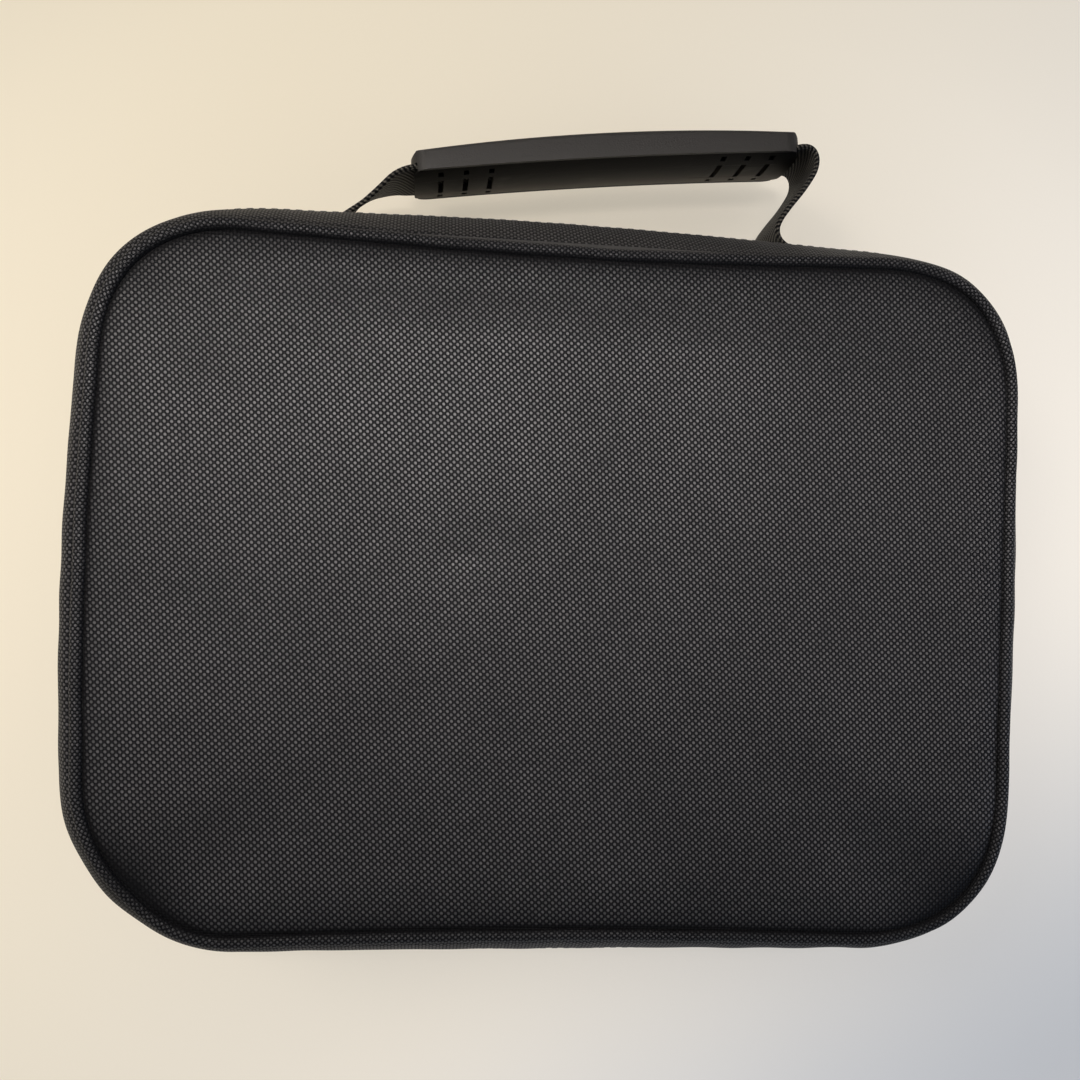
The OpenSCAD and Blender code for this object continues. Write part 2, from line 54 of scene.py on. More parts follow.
# --- Camera, table and lamps ---
# The closed case lies on its back on a pale table, and the camera looks down on its face from
# 29 cm away. A long soft lamp hangs over the handle side, a warm one stands to the left, a cool
# one to the right, and one in front falls only where the lid lies when it is open.
def put_in_scene(name, data):
    """A new object in the scene that shows the data."""
    made = bpy.data.objects.new(name, data)
    bpy.context.scene.collection.objects.link(made)
    return made


lens_data = bpy.data.cameras.new("camera")
lens_data.sensor_width, lens_data.lens = 36.0, 36.9
lens_data.clip_start = 0.01
camera = bpy.context.scene.camera = put_in_scene("camera", lens_data)
eye_place = Vector((-37.8, 7.6, 360.1)) * MM
eye_back = Vector((-0.1059, -0.0157, 0.9942)).normalized()
eye_right = Vector((-0.0325, 0.9994, 0.0123)).cross(eye_back).normalized()
eye_turn = Matrix((eye_right, eye_back.cross(eye_right), eye_back)).transposed()
camera.matrix_world = Matrix.Translation(eye_place) @ eye_turn.to_4x4()
bpy.context.scene.view_settings.view_transform = "Standard"


def lamp(name, place, aim, size, watts, colour, spread=180):
    """An area lamp of that width and depth at place, turned so that its face looks at aim. The
    spread, in degrees, narrows its beam as a grid of deep cells would."""
    light = bpy.data.lights.new(name, "AREA")
    light.shape, (light.size, light.size_y) = "RECTANGLE", size
    light.energy, light.color, light.spread = watts, colour, radians(spread)
    holder = put_in_scene(name, light)
    holder.location = place
    holder.rotation_euler = (Vector(aim) - Vector(place)).to_track_quat("-Z", "Y").to_euler()


lamp("ceiling_lamp", (0.02, 0.19, 0.85), (0.02, 0.027, 0.07), (0.62, 0.08), 0.36, (1.0, 0.955, 0.93), 27)
lamp("window_lamp", (-0.51, 0.33, 0.80), (-0.04, 0.03, 0.06), (0.3, 0.3), 0.28, (1.0, 0.93, 0.85), 38)
lamp("cool_lamp", (0.85, -0.35, 0.45), (0.05, -0.02, 0.05), (0.5, 0.5), 1.1, (0.40, 0.62, 1.0))
lamp("open_lid_lamp", (0.03, -0.38, 0.90), (0.0, -0.315, 0.03), (0.25, 0.08), 0.26, (1.0, 0.96, 0.93), 19)


class Wire:
    """A number on its way through a shader. Sums, products and the like add Math nodes."""

    def __init__(self, socket):
        self.socket = socket

    __add__ = __radd__ = lambda self, other: maths("ADD", self, other)
    __mul__ = __rmul__ = lambda self, other: maths("MULTIPLY", self, other)
    __sub__ = lambda self, other: maths("SUBTRACT", self, other)
    __rsub__ = lambda self, other: maths("SUBTRACT", other, self)
    __truediv__ = lambda self, other: maths("DIVIDE", self, other)


def put(socket, value):
    """Links a wire or socket into an input, or sets the input to a plain value."""
    if isinstance(value, Wire):
        value = value.socket
    if isinstance(value, bpy.types.NodeSocket):
        socket.id_data.links.new(value, socket)
    else:
        socket.default_value = value


def node(tree, kind, inputs=None, **settings):
    """Adds a shader node, with its settings and its inputs by name or number."""
    made = tree.nodes.new("ShaderNode" + kind)
    for name, value in settings.items():
        setattr(made, name, value)
    for name, value in (inputs or {}).items():
        put(made.inputs[name], value)
    return made


def maths(operation, *values):
    """A Math node on wires and plain numbers, clamped to 0 and 1 where the name ends in a dash."""
    tree = next(v.socket.id_data for v in values if isinstance(v, Wire))
    made = node(tree, "Math", operation=operation.rstrip("-"), use_clamp=operation.endswith("-"))
    for socket, value in zip(made.inputs, values):
        put(socket, value)
    return Wire(made.outputs[0])


def steps(value, low, high, out_low=0.0, out_high=1.0):
    """A smooth step of value: out_low below low, out_high above high."""
    made = node(value.socket.id_data, "MapRange", {0: value, 1: low, 2: high, 3: out_low, 4: out_high},
                interpolation_type="SMOOTHSTEP")
    return Wire(made.outputs[0])


def mixed(share, first, second):
    """A colour between first and second by share."""
    made = node(share.socket.id_data, "Mix", {0: share}, data_type="RGBA")
    for socket, value in ((made.inputs[6], first), (made.inputs[7], second)):
        put(socket, (*value, 1) if isinstance(value, tuple) else value)
    return made.outputs[2]


def parted(where):
    """The three numbers of a vector, as wires."""
    return [Wire(part) for part in node(where.id_data, "SeparateXYZ", {0: where}).outputs]


def noise(where, scale, detail=2.0, stretch=None):
    """Soft noise from 0 to 1 at that many lumps a metre, drawn out by stretch."""
    tree = where.id_data
    if stretch:
        where = node(tree, "Mapping", {0: where, 3: stretch}).outputs[0]
    return Wire(node(tree, "TexNoise", {"Vector": where, "Scale": scale, "Detail": detail}).outputs[0])


def material(name, roughness, **sockets):
    """A material, its Principled shader and its object coordinates. The sockets are plain values."""
    made = bpy.data.materials.new(name)
    made.use_nodes = True
    shader = made.node_tree.nodes["Principled BSDF"]
    shader.inputs["Roughness"].default_value = roughness
    for socket, value in sockets.items():
        shader.inputs[socket.replace("_", " ")].default_value = value
    return made, shader.inputs, node(made.node_tree, "TexCoord").outputs["Object"]


def bump(height, depth, under=None):
    """A normal from a height between 0 and 1 that stands for depth metres."""
    made = node(height.socket.id_data, "Bump", {"Height": height, "Distance": depth})
    if under:
        put(made.inputs["Normal"], under)
    return made.outputs[0]


# The room is bright round the walls, where its light comes from, and dim overhead.
world = bpy.data.worlds.new("room")
world.use_nodes = True
bpy.context.scene.world = world
above = parted(node(world.node_tree, "TexCoord").outputs["Generated"])[2]
room = world.node_tree.nodes["Background"].inputs
room["Color"].default_value = (0.72, 0.83, 1.0, 1)
put(room["Strength"], steps(above, 0.05, 0.75, 0.30, 0.05))

# The table turns from cream at the left to grey at the near right corner, where the grey is a painted shadow. It
# glows a little to the camera, which keeps its shadow soft, and close under the case ambient occlusion darkens the
# glow, a painted contact shadow.
table_paint, paint, spot = material("table_paint", 0.75)
table_tree = table_paint.node_tree
across, along, _ = parted(spot)
mottle = noise(spot, 6.0) * 0.12 - 0.06
cream, pale, shadow_grey = (0.83, 0.735, 0.57), (0.81, 0.765, 0.70), (0.50, 0.515, 0.545)
warm_to_pale = mixed(steps(across * 5.7 - along * 3.4 + mottle, -1.3, 1.2), cream, pale)
# grey towards the near right corner: painted shadow
table_colour = mixed(steps(across * 4.0 - along * 5.7 + mottle, 0.62, 1.65), warm_to_pale, shadow_grey)
put(paint["Base Color"], table_colour)
put(paint["Normal"], bump(noise(spot, 900.0, 3.0), 0.00002))
rays = node(table_tree, "LightPath").outputs
direct, mirrored, through = (Wire(rays["Is %s Ray" % kind]) for kind in ("Camera", "Glossy", "Transmission"))
seen = maths("ADD-", direct + mirrored, through)
# ambient occlusion darkens the glow near the case: painted contact shadow
contact_shadow_ao = Wire(node(table_tree, "AmbientOcclusion", {"Distance": 0.08}).outputs["AO"])
glow = node(table_tree, "Emission", {"Color": table_colour, "Strength": 0.62 + contact_shadow_ao * 0.56}).outputs[0]
lit = table_tree.nodes["Principled BSDF"].outputs[0]
put(table_tree.nodes["Material Output"].inputs["Surface"],
    node(table_tree, "MixShader", {0: seen * 0.72, 1: lit, 2: glow}).outputs[0])
TABLE_HALF = 3.0
table_top = put_in_scene("table_top", bpy.data.meshes.new("table_top"))
corners = (-1, -1), (1, -1), (1, 1), (-1, 1)
table_top.data.from_pydata([(x * TABLE_HALF, y * TABLE_HALF, 0) for x, y in corners], [], [(0, 1, 2, 3)])
table_top.data.materials.append(table_paint)

# --- Seam line ---
# Everything round the case follows one line, the seam that joins panel, piping and wall: a
# rectangle with round corners, whose sides the sewing has pulled in or let out a little.
cord_low, cord_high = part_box("lid_piping")
cord_r = (cord_high.z - cord_low.z) / 2
half_w, half_h = cord_high.x - cord_r, cord_high.y - cord_r
corner_r = 40 * MM
front_z = cord_high.z + 0.6 * MM
# the walls are fullest at these heights, and run in to the piping over the height of the puff
puff_h, lid_full_z, base_full_z = 9.1 * MM, 60 * MM, 15 * MM
# millimetres for the sides, for their bows and for the corners, in the order that uneven takes
SEAM_PULL = (-1.2, -1.1, -0.6, -2.4), (1.45, -0.1, -1.7, -2.3), (-1.2, 1.85, 2.4, 2.6)


def grid(*parts):
    """A grid of points from their x, y and z, or of pairs, each spread over the whole grid."""
    return np.stack(np.broadcast_arrays(*parts), 2)


def look_up(at, run, values, **wrap):
    """The rows of values, known at the lengths run, read at other lengths in between."""
    return np.stack([np.interp(at, run, v, **wrap) for v in values.T], 1)


def seam_table(count=12000):
    """Arc length, place and outward normal round the seam, from the middle of the hinge side
    towards +X. The heading is level along a side and turns a quarter at a steady rate round a
    corner, and the place is the running sum of the heading."""
    side, end, arc = half_w - corner_r, 2 * (half_h - corner_r), corner_r * pi / 2
    stretches = np.array([side, arc, end, arc, 2 * side, arc, end, arc, side])
    turns = np.array([0, 1, 0, 1, 0, 1, 0, 1, 0]) * pi / 2
    step = stretches.sum() / count
    middle = (np.arange(count) + 0.5) * step
    heading = np.interp(middle, np.r_[0, stretches.cumsum()], np.r_[0, turns.cumsum()])
    walk = np.c_[np.cos(heading), np.sin(heading)].cumsum(0) * step + [0, -half_h]
    return middle + step / 2, walk, np.c_[np.sin(heading), -np.cos(heading)]


seam_arcs, seam_places, seam_normals = seam_table()
SEAM = seam_arcs[-1]
ALL_ROUND = (np.arange(720) + 0.5) * SEAM / 720


def on_seam(arcs):
    """Places and outward normals at those arc lengths round the seam."""
    return (look_up(arcs, seam_arcs, seam_places, period=SEAM),
            look_up(arcs, seam_arcs, seam_normals, period=SEAM))


def uneven(place, normal, sides, bows, corners):
    """An offset round the seam, from millimetres for the left, right, hinge and handle sides, for
    their bows and for the corners between left and hinge, hinge and right, right and handle, and
    handle and left. The sides share it by the squares of the normal's parts, a bow fades from
    the middle of its side to nothing past its ends, and a corner's part is the square of the
    sine of twice the heading."""
    (x, y), (along, up) = normal.T, place.T
    left, near = x < 0, y < 0
    fade = lambda at, half: np.clip(1 - (at / (half - corner_r) / 1.12) ** 2, 0, 1) ** 1.5
    pick = lambda first, one, other, at, half: np.where(
        first, sides[one] + bows[one] * fade(at, half), sides[other] + bows[other] * fade(at, half))
    left_right, hinge_handle = pick(left, 0, 1, up, half_h), pick(near, 2, 3, along, half_w)
    corner = np.where(near, np.where(left, corners[0], corners[1]), np.where(left, corners[3], corners[2]))
    return (left_right * x**2 + hinge_handle * y**2 + corner * (2 * x * y) ** 2) * MM


def around(out, z, arcs=ALL_ROUND):
    """Rows of points out metres beyond the seam at the heights z, one row for each arc length.
    The front seam runs unevenly and the back seam by a third as much, and both fade to nothing
    where the walls are fullest."""
    place, normal = on_seam(arcs)
    z = np.atleast_1d(np.asarray(z, float))
    bow = uneven(place, normal, *SEAM_PULL)
    share = np.clip((z - lid_full_z) / puff_h, 0, 1) + 0.33 * np.clip((base_full_z - z) / puff_h, 0, 1)
    flat = place[:, None] + normal[:, None] * (out + bow[:, None] * share)[..., None]
    return grid(flat[..., 0], flat[..., 1], z)

# --- Case cloth ---
# Coarse black polyester, plain woven from flat many-stranded yarns. One set of yarns stands higher and shines
# more; its colour is painted light on the yarn crowns, a painted highlight that draws a chequer of grey dots, and
# the holes between them are painted black, a painted shade.
def group(name, inputs, outputs):
    """An empty shader group with float inputs, a vector input named Where, and float outputs."""
    tree = bpy.data.node_groups.new(name, "ShaderNodeTree")
    tree.interface.new_socket("Where", in_out="INPUT", socket_type="NodeSocketVector")
    for label, start in inputs.items():
        socket = tree.interface.new_socket(label, in_out="INPUT", socket_type="NodeSocketFloat")
        socket.default_value = start
    for label in outputs:
        tree.interface.new_socket(label, in_out="OUTPUT", socket_type="NodeSocketFloat")
    ins = tree.nodes.new("NodeGroupInput").outputs
    return tree, {s.name: s if s.name == "Where" else Wire(s) for s in ins if s.name}, \
        tree.nodes.new("NodeGroupOutput").inputs


def use(kit, where, **inputs):
    """Places a group in the material that where belongs to, and gives its outputs as wires."""
    made = where.id_data.nodes.new("ShaderNodeGroup")
    made.node_tree = kit
    put(made.inputs["Where"], where)
    for label, value in inputs.items():
        put(made.inputs[label.replace("_", " ")], value)
    return {s.name: Wire(s) for s in made.outputs}


plain_weave, given, results = group(
    "plain_weave", {"Warp Pitch": 0.001, "Weft Pitch": 0.001}, ["Height", "Warp On Top", "Fibre", "Lot"])
along, across, _ = parted(given["Where"])
warp_at, weft_at = along / given["Warp Pitch"], across / given["Weft Pitch"]


def yarn(number, along):
    """Height of a yarn at its place across, which is round, and along, where it rises over every
    other yarn it meets; the next yarn along is half a period on."""
    rounded = maths("POWER", maths("SINE", maths("FRACT", number) * pi), 0.6)
    rise = maths("COSINE", (along - 0.5 + maths("FLOOR", number)) * pi) * 0.5 + 0.5
    return rounded * 0.45, rise * 0.55


warp_round, warp_rise = yarn(warp_at, weft_at)
weft_round, weft_rise = yarn(weft_at, warp_at + 1.0)
warp_top, weft_top = warp_round + warp_rise, weft_round + weft_rise
put(results["Height"], maths("MAXIMUM", warp_top, weft_top))
put(results["Warp On Top"], steps(warp_top - weft_top, -0.06, 0.06))
warp_fibre = noise(given["Where"], 9000.0, 1.0, (1.0, 0.12, 1.0))
weft_fibre = noise(given["Where"], 9000.0, 1.0, (0.12, 1.0, 1.0))
over = Wire(results["Warp On Top"].links[0].from_socket)
put(results["Fibre"], warp_fibre * over + weft_fibre * (1.0 - over))
square = node(plain_weave, "CombineXYZ", {0: maths("FLOOR", warp_at), 1: maths("FLOOR", weft_at)}).outputs[0]
chance = node(plain_weave, "TexWhiteNoise", {"Vector": square}, noise_dimensions="2D")
put(results["Lot"], chance.outputs["Value"])

lint, given, results = group("lint", {"Cells": 60.0, "Share": 0.02}, ["Speck"])
speck = node(lint, "TexVoronoi", {"Vector": given["Where"], "Scale": given["Cells"]})
lot = Wire(node(lint, "SeparateColor", {0: speck.outputs["Color"]}).outputs[0])
close = maths("LESS_THAN", Wire(speck.outputs["Distance"]), 0.018)
put(results["Speck"], close * maths("LESS_THAN", lot, given["Share"]))


def woven(name, warp_pitch, weft_pitch, low, warp_tone_and_highlight, weft_tone, depth, wear):
    """Woven cloth: yarn colours by which yarn is on top, painted lighter on the yarn crowns as a painted highlight
    and dark in the holes as a painted shade, and darkened by a share of painted shade in seams and on the sides
    that get less light, with stray lint. The high yarns are glossy and each float differs a little."""
    made, shader, spot = material(name, 0.5, Sheen_Weight=0.03, Sheen_Roughness=0.4, Specular_IOR_Level=0.12,
                                  Coat_Roughness=0.38)
    cloth = node(made.node_tree, "UVMap", uv_map="cloth").outputs[0]
    weave = use(plain_weave, cloth, Warp_Pitch=warp_pitch, Weft_Pitch=weft_pitch)
    yarns = mixed(weave["Warp On Top"], weft_tone, warp_tone_and_highlight)
    # painted highlight and shade: the yarn colour shows only near the crowns, and the holes take the dark low
    # colour
    painted_crown_highlight = steps(weave["Height"], 0.50, 0.98)
    patchy = noise(spot, 22.0, 3.0)
    painted_seam_shade = Wire(node(made.node_tree, "Attribute", attribute_name="painted_shade").outputs["Fac"])
    # painted shade: the mesh's share darkens the cloth in seams and on the sides that get less light
    light = painted_crown_highlight * steps(patchy, 0.2, 0.8, 1.0 - wear, 1.0) * (0.72 + weave["Lot"] * 0.28) * (1.0 - painted_seam_shade * 0.95)
    shaded = mixed(light, low, yarns)
    specks = use(lint, spot, Cells=75.0, Share=0.012)["Speck"]
    put(shader["Base Color"], mixed(specks, shaded, (0.35, 0.33, 0.31)))
    put(shader["Roughness"], 0.40 + weave["Fibre"] * 0.25 + (1.0 - painted_crown_highlight) * 0.3)
    put(shader["Coat Weight"], weave["Warp On Top"] * light * 0.4)
    fibres = bump(weave["Fibre"], 0.00003)
    put(shader["Normal"], bump(weave["Height"], depth, fibres))
    return made


# the light warp tones are partly painted highlights on the yarn crowns
case_cloth = woven("case_cloth", 0.90 * MM, 0.82 * MM, (0.0015, 0.0015, 0.002),
                   (0.125, 0.120, 0.122), (0.010, 0.0095, 0.011), 0.28 * MM, 0.22)
# the piping's strip of case cloth, woven finer here and painted darker, a painted shade
piping_cloth_shaded = woven("piping_cloth_shaded", 0.80 * MM, 0.66 * MM, (0.0015, 0.0015, 0.002),
                     (0.100, 0.097, 0.100), (0.006, 0.006, 0.007), 0.28 * MM, 0.25)

# --- Face and back panels ---
# The padded front and back: case cloth stretched over thin foam, backed by a board and turned
# in against the piping. The pull of the seam leaves shallow hollows beside it.
def tidy(mesh):
    """Closes poles and seams by merging points that coincide, and turns every face outwards."""
    work = bmesh.new()
    work.from_mesh(mesh)
    bmesh.ops.remove_doubles(work, verts=work.verts, dist=1e-7)
    bmesh.ops.dissolve_degenerate(work, edges=work.edges, dist=1e-8)
    bmesh.ops.recalc_face_normals(work, faces=work.faces)
    work.to_mesh(mesh)
    work.free()


def show(name, mesh, finish):
    """Puts a finished mesh in the scene with its material, shaded smooth."""
    piece = put_in_scene(name, mesh)
    mesh.materials.clear()
    mesh.materials.append(finish)
    mesh.polygons.foreach_set("use_smooth", np.ones(len(mesh.polygons), bool))
    return piece


def fit(piece, body, *node_names):
    """Puts a piece in the place of its CAD nodes and lets it move with a body."""
    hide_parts(*node_names)
    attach(piece, body)


def net(rows, columns, loops):
    """The corners of the faces between neighbours on a grid, as four pairs of row and column. A
    way named in loops wraps round."""
    i, j = np.indices((rows - (not loops[0]), columns - (not loops[1]))).reshape(2, -1)
    return [(i, j), (i + 1, j), (i + 1, j + 1), (i, j + 1)]


def run_uv(points, loops):
    """Cloth coordinates in metres: the mean distance run along the rows and along the columns."""
    def run(way):
        closed = np.concatenate([points, points.take([0], way)], way) if loops[way] else points
        return np.r_[0, np.linalg.norm(np.diff(closed, axis=way), axis=2).mean(1 - way).cumsum()]
    return grid(run(0)[:, None], run(1))


def surface(name, points, finish, loops=(False, True), painted_shade=None, uv=None):
    """A piece from the grid points[row, column, xyz]. The cloth coordinates uv, in metres, run
    with the grid unless they are given, and have one more entry each way that wraps round.
    A share from 0 to 1 at each point gives painted shade, which darkens the cloth deep in a seam and on the sides
    and corners that get less light."""
    rows, columns = points.shape[:2]
    uv = run_uv(points, loops) if uv is None else uv
    corners = net(rows, columns, loops)
    faces = np.stack([a % rows * columns + b % columns for a, b in corners], 1)
    mesh = bpy.data.meshes.new(name)
    mesh.from_pydata(points.reshape(-1, 3).tolist(), [], faces.tolist())
    layer = mesh.uv_layers.new(name="cloth")
    layer.data.foreach_set("uv", np.stack([uv[a, b] for a, b in corners], 1).astype(np.float32).ravel())
    if painted_shade is not None:
        values = np.broadcast_to(painted_shade, (rows, columns)).astype(np.float32).ravel()
        mesh.attributes.new("painted_shade", "FLOAT", "POINT").data.foreach_set("value", values)
    tidy(mesh)
    return show(name, mesh, finish)


def painted_side_shade(deep, sides, corners=(0, 0, 0, 0)):
    """Painted shade round the seam, for the sides and corners that get less light: deep, times a share for the
    left, right, hinge and handle sides and for the corners."""
    return (uneven(*on_seam(ALL_ROUND), sides, (0, 0, 0, 0), corners) / MM)[:, None] * np.asarray(deep)


def panel(name, crown, edge_drop, hollows, facing):
    """A padded panel on a polar grid. Rings first run in from the seam while the cloth rises out
    of the groove as two exponentials, then shrink evenly to the middle; a flat underside closes it."""
    run = 14 * MM * np.linspace(0, 1, 26) ** 1.5
    rim = around(-0.7 * MM - run, np.full(len(run), front_z if facing > 0 else 0.0))[..., :2]
    shrink = np.linspace(1, 0, 40)[1:]
    plan = np.concatenate([rim, rim[:, -1:] * shrink[None, :, None]], 1)
    x, y = plan[..., 0], plan[..., 1]
    distance = np.r_[run, run[-1] + (1 - shrink) * 60 * MM]
    rise = crown - edge_drop * np.exp(-distance / (0.45 * MM)) - 1.5 * MM * np.exp(-distance / (3.2 * MM))
    dome = 0.7 * MM * (1 - (x / half_w) ** 2) * (1 - (y / half_h) ** 2)
    top = rise[None, :] + dome - hollows(x, y)
    plan = np.concatenate([np.zeros_like(rim[:, :1]), rim[:, :1], plan], 1)
    top = np.concatenate([np.full((len(rim), 2), crown - edge_drop - 1.2 * MM), top], 1)
    x, y = plan[..., 0], plan[..., 1]
    points = grid(x, y, top if facing > 0 else front_z - top)
    cloth = grid(x + 0.09 * y, y + 1.5 * MM * np.sin(x / (70 * MM)))
    inside = np.clip(distance / MM - 1.0, 0, None)
    fading = lambda over: np.r_[0, 0, np.exp(-inside / over)]
    # painted shade: dark in the groove by the seam, darker along the handle and hinge sides and towards the hinge
    # corners where less light falls, and less so on the right side
    painted_shade = np.r_[1, 1, np.clip(0.9 * np.exp(-(inside / 0.8) ** 1.5) + 0.3 * np.exp(-inside / 2.4), 0, 1)]
    painted_shade = painted_shade + painted_side_shade(fading(6.5), (0.25, -0.3, 0.40, 0.70), (0.3, 0.3, 0.4, 0.2))
    painted_shade = painted_shade + painted_side_shade(fading(26), (0, 0.18, 0.12, 0), (0.45, 0.50, 0, 0))
    return surface(name, points, case_cloth, (True, False), np.clip(painted_shade, 0, 1),
                   np.concatenate([cloth, cloth[:1]]))


def face_hollows(x, y):
    """Depth of the hollows in the face: a long one beside the handle side, a slack one beside
    three corners, a small dent left of the middle, and a slow wave all over. Each hollow is a
    bell curve, and the wave is a product of sines."""
    sag = lambda mid_x, mid_y, run_x, run_y: np.exp(-((x - mid_x * MM) / (run_x * MM)) ** 2
                                                    - ((y - mid_y * MM) / (run_y * MM)) ** 2)
    beside_handle = 0.9 * sag(-6, 77, 62, 6) + 0.35 * sag(52, 76, 40, 7)
    corners = 0.5 * sag(96, 74, 16, 9) + 0.35 * sag(-104, 70, 10, 16) + 0.3 * sag(100, -70, 14, 12)
    dent = 0.5 * sag(-27, 7.5, 4.5, 2.6) + 0.25 * sag(-20, 11, 12, 5)
    slow = 0.22 * np.sin(x / (31 * MM) + 0.8) * np.sin(y / (27 * MM) + 0.4) \
        + 0.12 * np.sin((x + y) / (14 * MM)) * np.sin((x - 2 * y) / (37 * MM))
    return (beside_handle + corners + dent + slow) * MM


def back_hollows(x, y):
    """The back is pressed nearly flat by the table, with a slight wave."""
    return 0.12 * MM * np.sin(x / (36 * MM)) * np.sin(y / (29 * MM) + 1)


face = panel("face_panel", front_z - 0.35 * MM, 1.6 * MM, face_hollows, 1)
fit(face, "lid", "lid_face_panel")
back = panel("back_panel", front_z - 0.85 * MM, 1.6 * MM, back_hollows, -1)
fit(back, "base", "base_back_panel")

# --- Piping ---
# A round cord in a strip of the case cloth, sewn in all round the front and the back. Its two
# ends meet beside the middle of the hinge side.
def wander(arcs, size, waves, seed):
    """A slow random wander round the seam: a sum of whole waves with seeded heights and phases."""
    pick = np.random.default_rng(seed)
    heights, phases = pick.normal(size=len(waves)), pick.uniform(0, 2 * pi, len(waves))
    turn = (np.asarray(arcs) / SEAM * 2 * pi)[:, None]
    return size * (heights * np.sin(turn * np.array(waves) + phases)).sum(1) / len(waves) ** 0.5


def piping(name, z, body, node_name, seed):
    """A round section carried along the seam, with a slow wander out, up and in thickness, and
    a shallow pinch where the ends meet."""
    turn = np.linspace(0, 2 * pi, 40, endpoint=False)
    join = np.exp(-((ALL_ROUND - 31 * MM) / (1.2 * MM)) ** 2)
    thick = cord_r * (1 + wander(ALL_ROUND, 0.012, range(9, 60, 5), seed) - 0.14 * join)
    out = wander(ALL_ROUND, 0.12 * MM, range(3, 40, 4), seed + 1)
    up = wander(ALL_ROUND, 0.08 * MM, range(4, 33, 3), seed + 2)
    points = around(out[:, None] + np.cos(turn) * thick[:, None], np.full(40, z))
    points[..., 2] += np.sin(turn) * thick[:, None] + up[:, None]
    # painted shade: the cord is darkened on its underside and inner flank, which face the dark cloth, and on the
    # sides that get less light
    painted_flank_shade = np.clip((-0.1 - np.cos(turn)) * 1.1, 0, 1) + np.clip((np.cos(turn) - 0.8) * 6, 0, 1)
    painted_shade = np.where(np.sin(turn) < -0.2, 1, painted_flank_shade)
    painted_shade = np.clip(painted_shade + painted_side_shade(1, (0.1, -0.1, 0.30, 0.42), (0.3, 0.3, 0, 0)), 0, 1)
    cord = surface(name, points, piping_cloth_shaded, (True, True), painted_shade)
    fit(cord, body, node_name)


cord_z = cord_high.z - cord_r
piping("front_piping", cord_z, "lid", "lid_piping", 3)
piping("back_piping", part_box("base_piping")[0].z + cord_r, "base", "base_piping", 7)

# --- Side walls ---
# Two padded strips of case cloth puff out between the piping and the zip. The long edge of
# each is turned in and stitched down along the zip tape.
WALL_T = 2.4 * MM
LID_REACH = (6.6, 5.2, 5.3, 4.8), (1.1, 1.3, 0.5, 1.9), (-0.2, 0.1, 2.1, 0.8)
wall_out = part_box("lid_wall")[1].x - half_w
lid_foot = cord_z - 1.5 * MM
base_foot = front_z - lid_foot
lid_edge, base_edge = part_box("lid_wall")[0].z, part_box("base_wall")[1].z
SWELL_ROWS, FLAT_ROWS = 12, 8
to_foot = np.r_[np.linspace(1, 0, SWELL_ROWS), np.zeros(FLAT_ROWS)]


def reach(z, arcs=ALL_ROUND):
    """How far the sides stand out beyond the seam at height z: the base all alike, and the lid
    by its own amount on each side and at each corner, run in evenly from below the zip up to
    its fullest line."""
    place, normal = on_seam(arcs)
    lid_out = uneven(place, normal, *LID_REACH)
    lid_out = lid_out - 0.009 * place[:, 0] * np.clip(normal[:, 1], 0, 1) ** 2
    down = np.clip((lid_full_z - np.atleast_1d(z)) / (14 * MM), 0, 1)
    return lid_out[:, None] * (1 - down) + wall_out * down


def wall_face(foot, full, edge, seed, arcs=ALL_ROUND):
    """Reach and height of a wall's outer face from its foot to its edge: it swells from the
    piping as a quarter wave, then follows the reach of the sides, with a slow wander."""
    root = 1.5 * MM
    swell = np.linspace(0, pi / 2, SWELL_ROWS)
    z = np.r_[foot + (full - foot) * (1 - np.cos(swell)), np.linspace(full, edge, FLAT_ROWS + 1)[1:]]
    share = np.r_[np.sin(swell), np.ones(FLAT_ROWS)]
    loose = np.sin(pi * np.clip((z - foot) / (edge - foot), 0, 1)) ** 0.7
    out = root + (reach(z, arcs) - root) * share
    return out + wander(arcs, 0.14 * MM, range(3, 60, 4), seed)[:, None] * loose, z


def wall_back(foot, full, edge, seed, gap=0.0):
    """The wall's inner face, a wall's thickness and the gap behind the outer one; at its foot it
    closes on the piping."""
    out, z = wall_face(foot, full, edge, seed)
    deep = WALL_T + gap
    return (np.concatenate([out[:, :1] - 0.8 * MM - gap, out[:, 1:] - deep], 1),
            z + to_foot * deep * np.sign(edge - foot))


def wall(half, line, seed):
    """A closed section round the seam: the outer face, a round fold at the zip and the back. Painted shade darkens
    the cloth at its foot, on the fold and the back, and on the sides and corners that get less light."""
    out, z = wall_face(*line, seed)
    inner, inner_z = wall_back(*line, seed)
    turn = np.linspace(pi / 2, -pi / 2, 9)[1:-1]
    fold_out = (out[:, -1] - WALL_T / 2)[:, None] + np.sin(turn) * WALL_T / 2
    fold_z = z[-1] + np.cos(turn) * WALL_T / 2 * np.sign(line[2] - line[0])
    points = around(np.concatenate([out, fold_out, inner[:, ::-1]], 1), np.r_[z, fold_z, inner_z[::-1]])
    # painted shade at the foot, on the fold and the back, and on the sides and corners that get less light
    painted_shade = np.r_[1, 0.35, 0 * z[2:], np.full(len(turn) + len(inner_z), 0.3)]
    painted_shade = np.clip(painted_shade + painted_side_shade(1, (0.2, 0, 0.45, 0.5), (0.5, 0.5, 0.2, 0)), 0, 1)
    strip = surface(half + "_wall_cloth", points, case_cloth, (True, True), painted_shade)
    fit(strip, half, half + "_wall")


lid_line = (lid_foot + 0.2 * MM, lid_full_z, lid_edge + WALL_T / 2)
base_line = (base_foot - 0.2 * MM, base_full_z, base_edge - WALL_T / 2)
HALVES = (("lid", lid_line, 11), ("base", base_line, 13))
for half in HALVES:
    wall(*half)

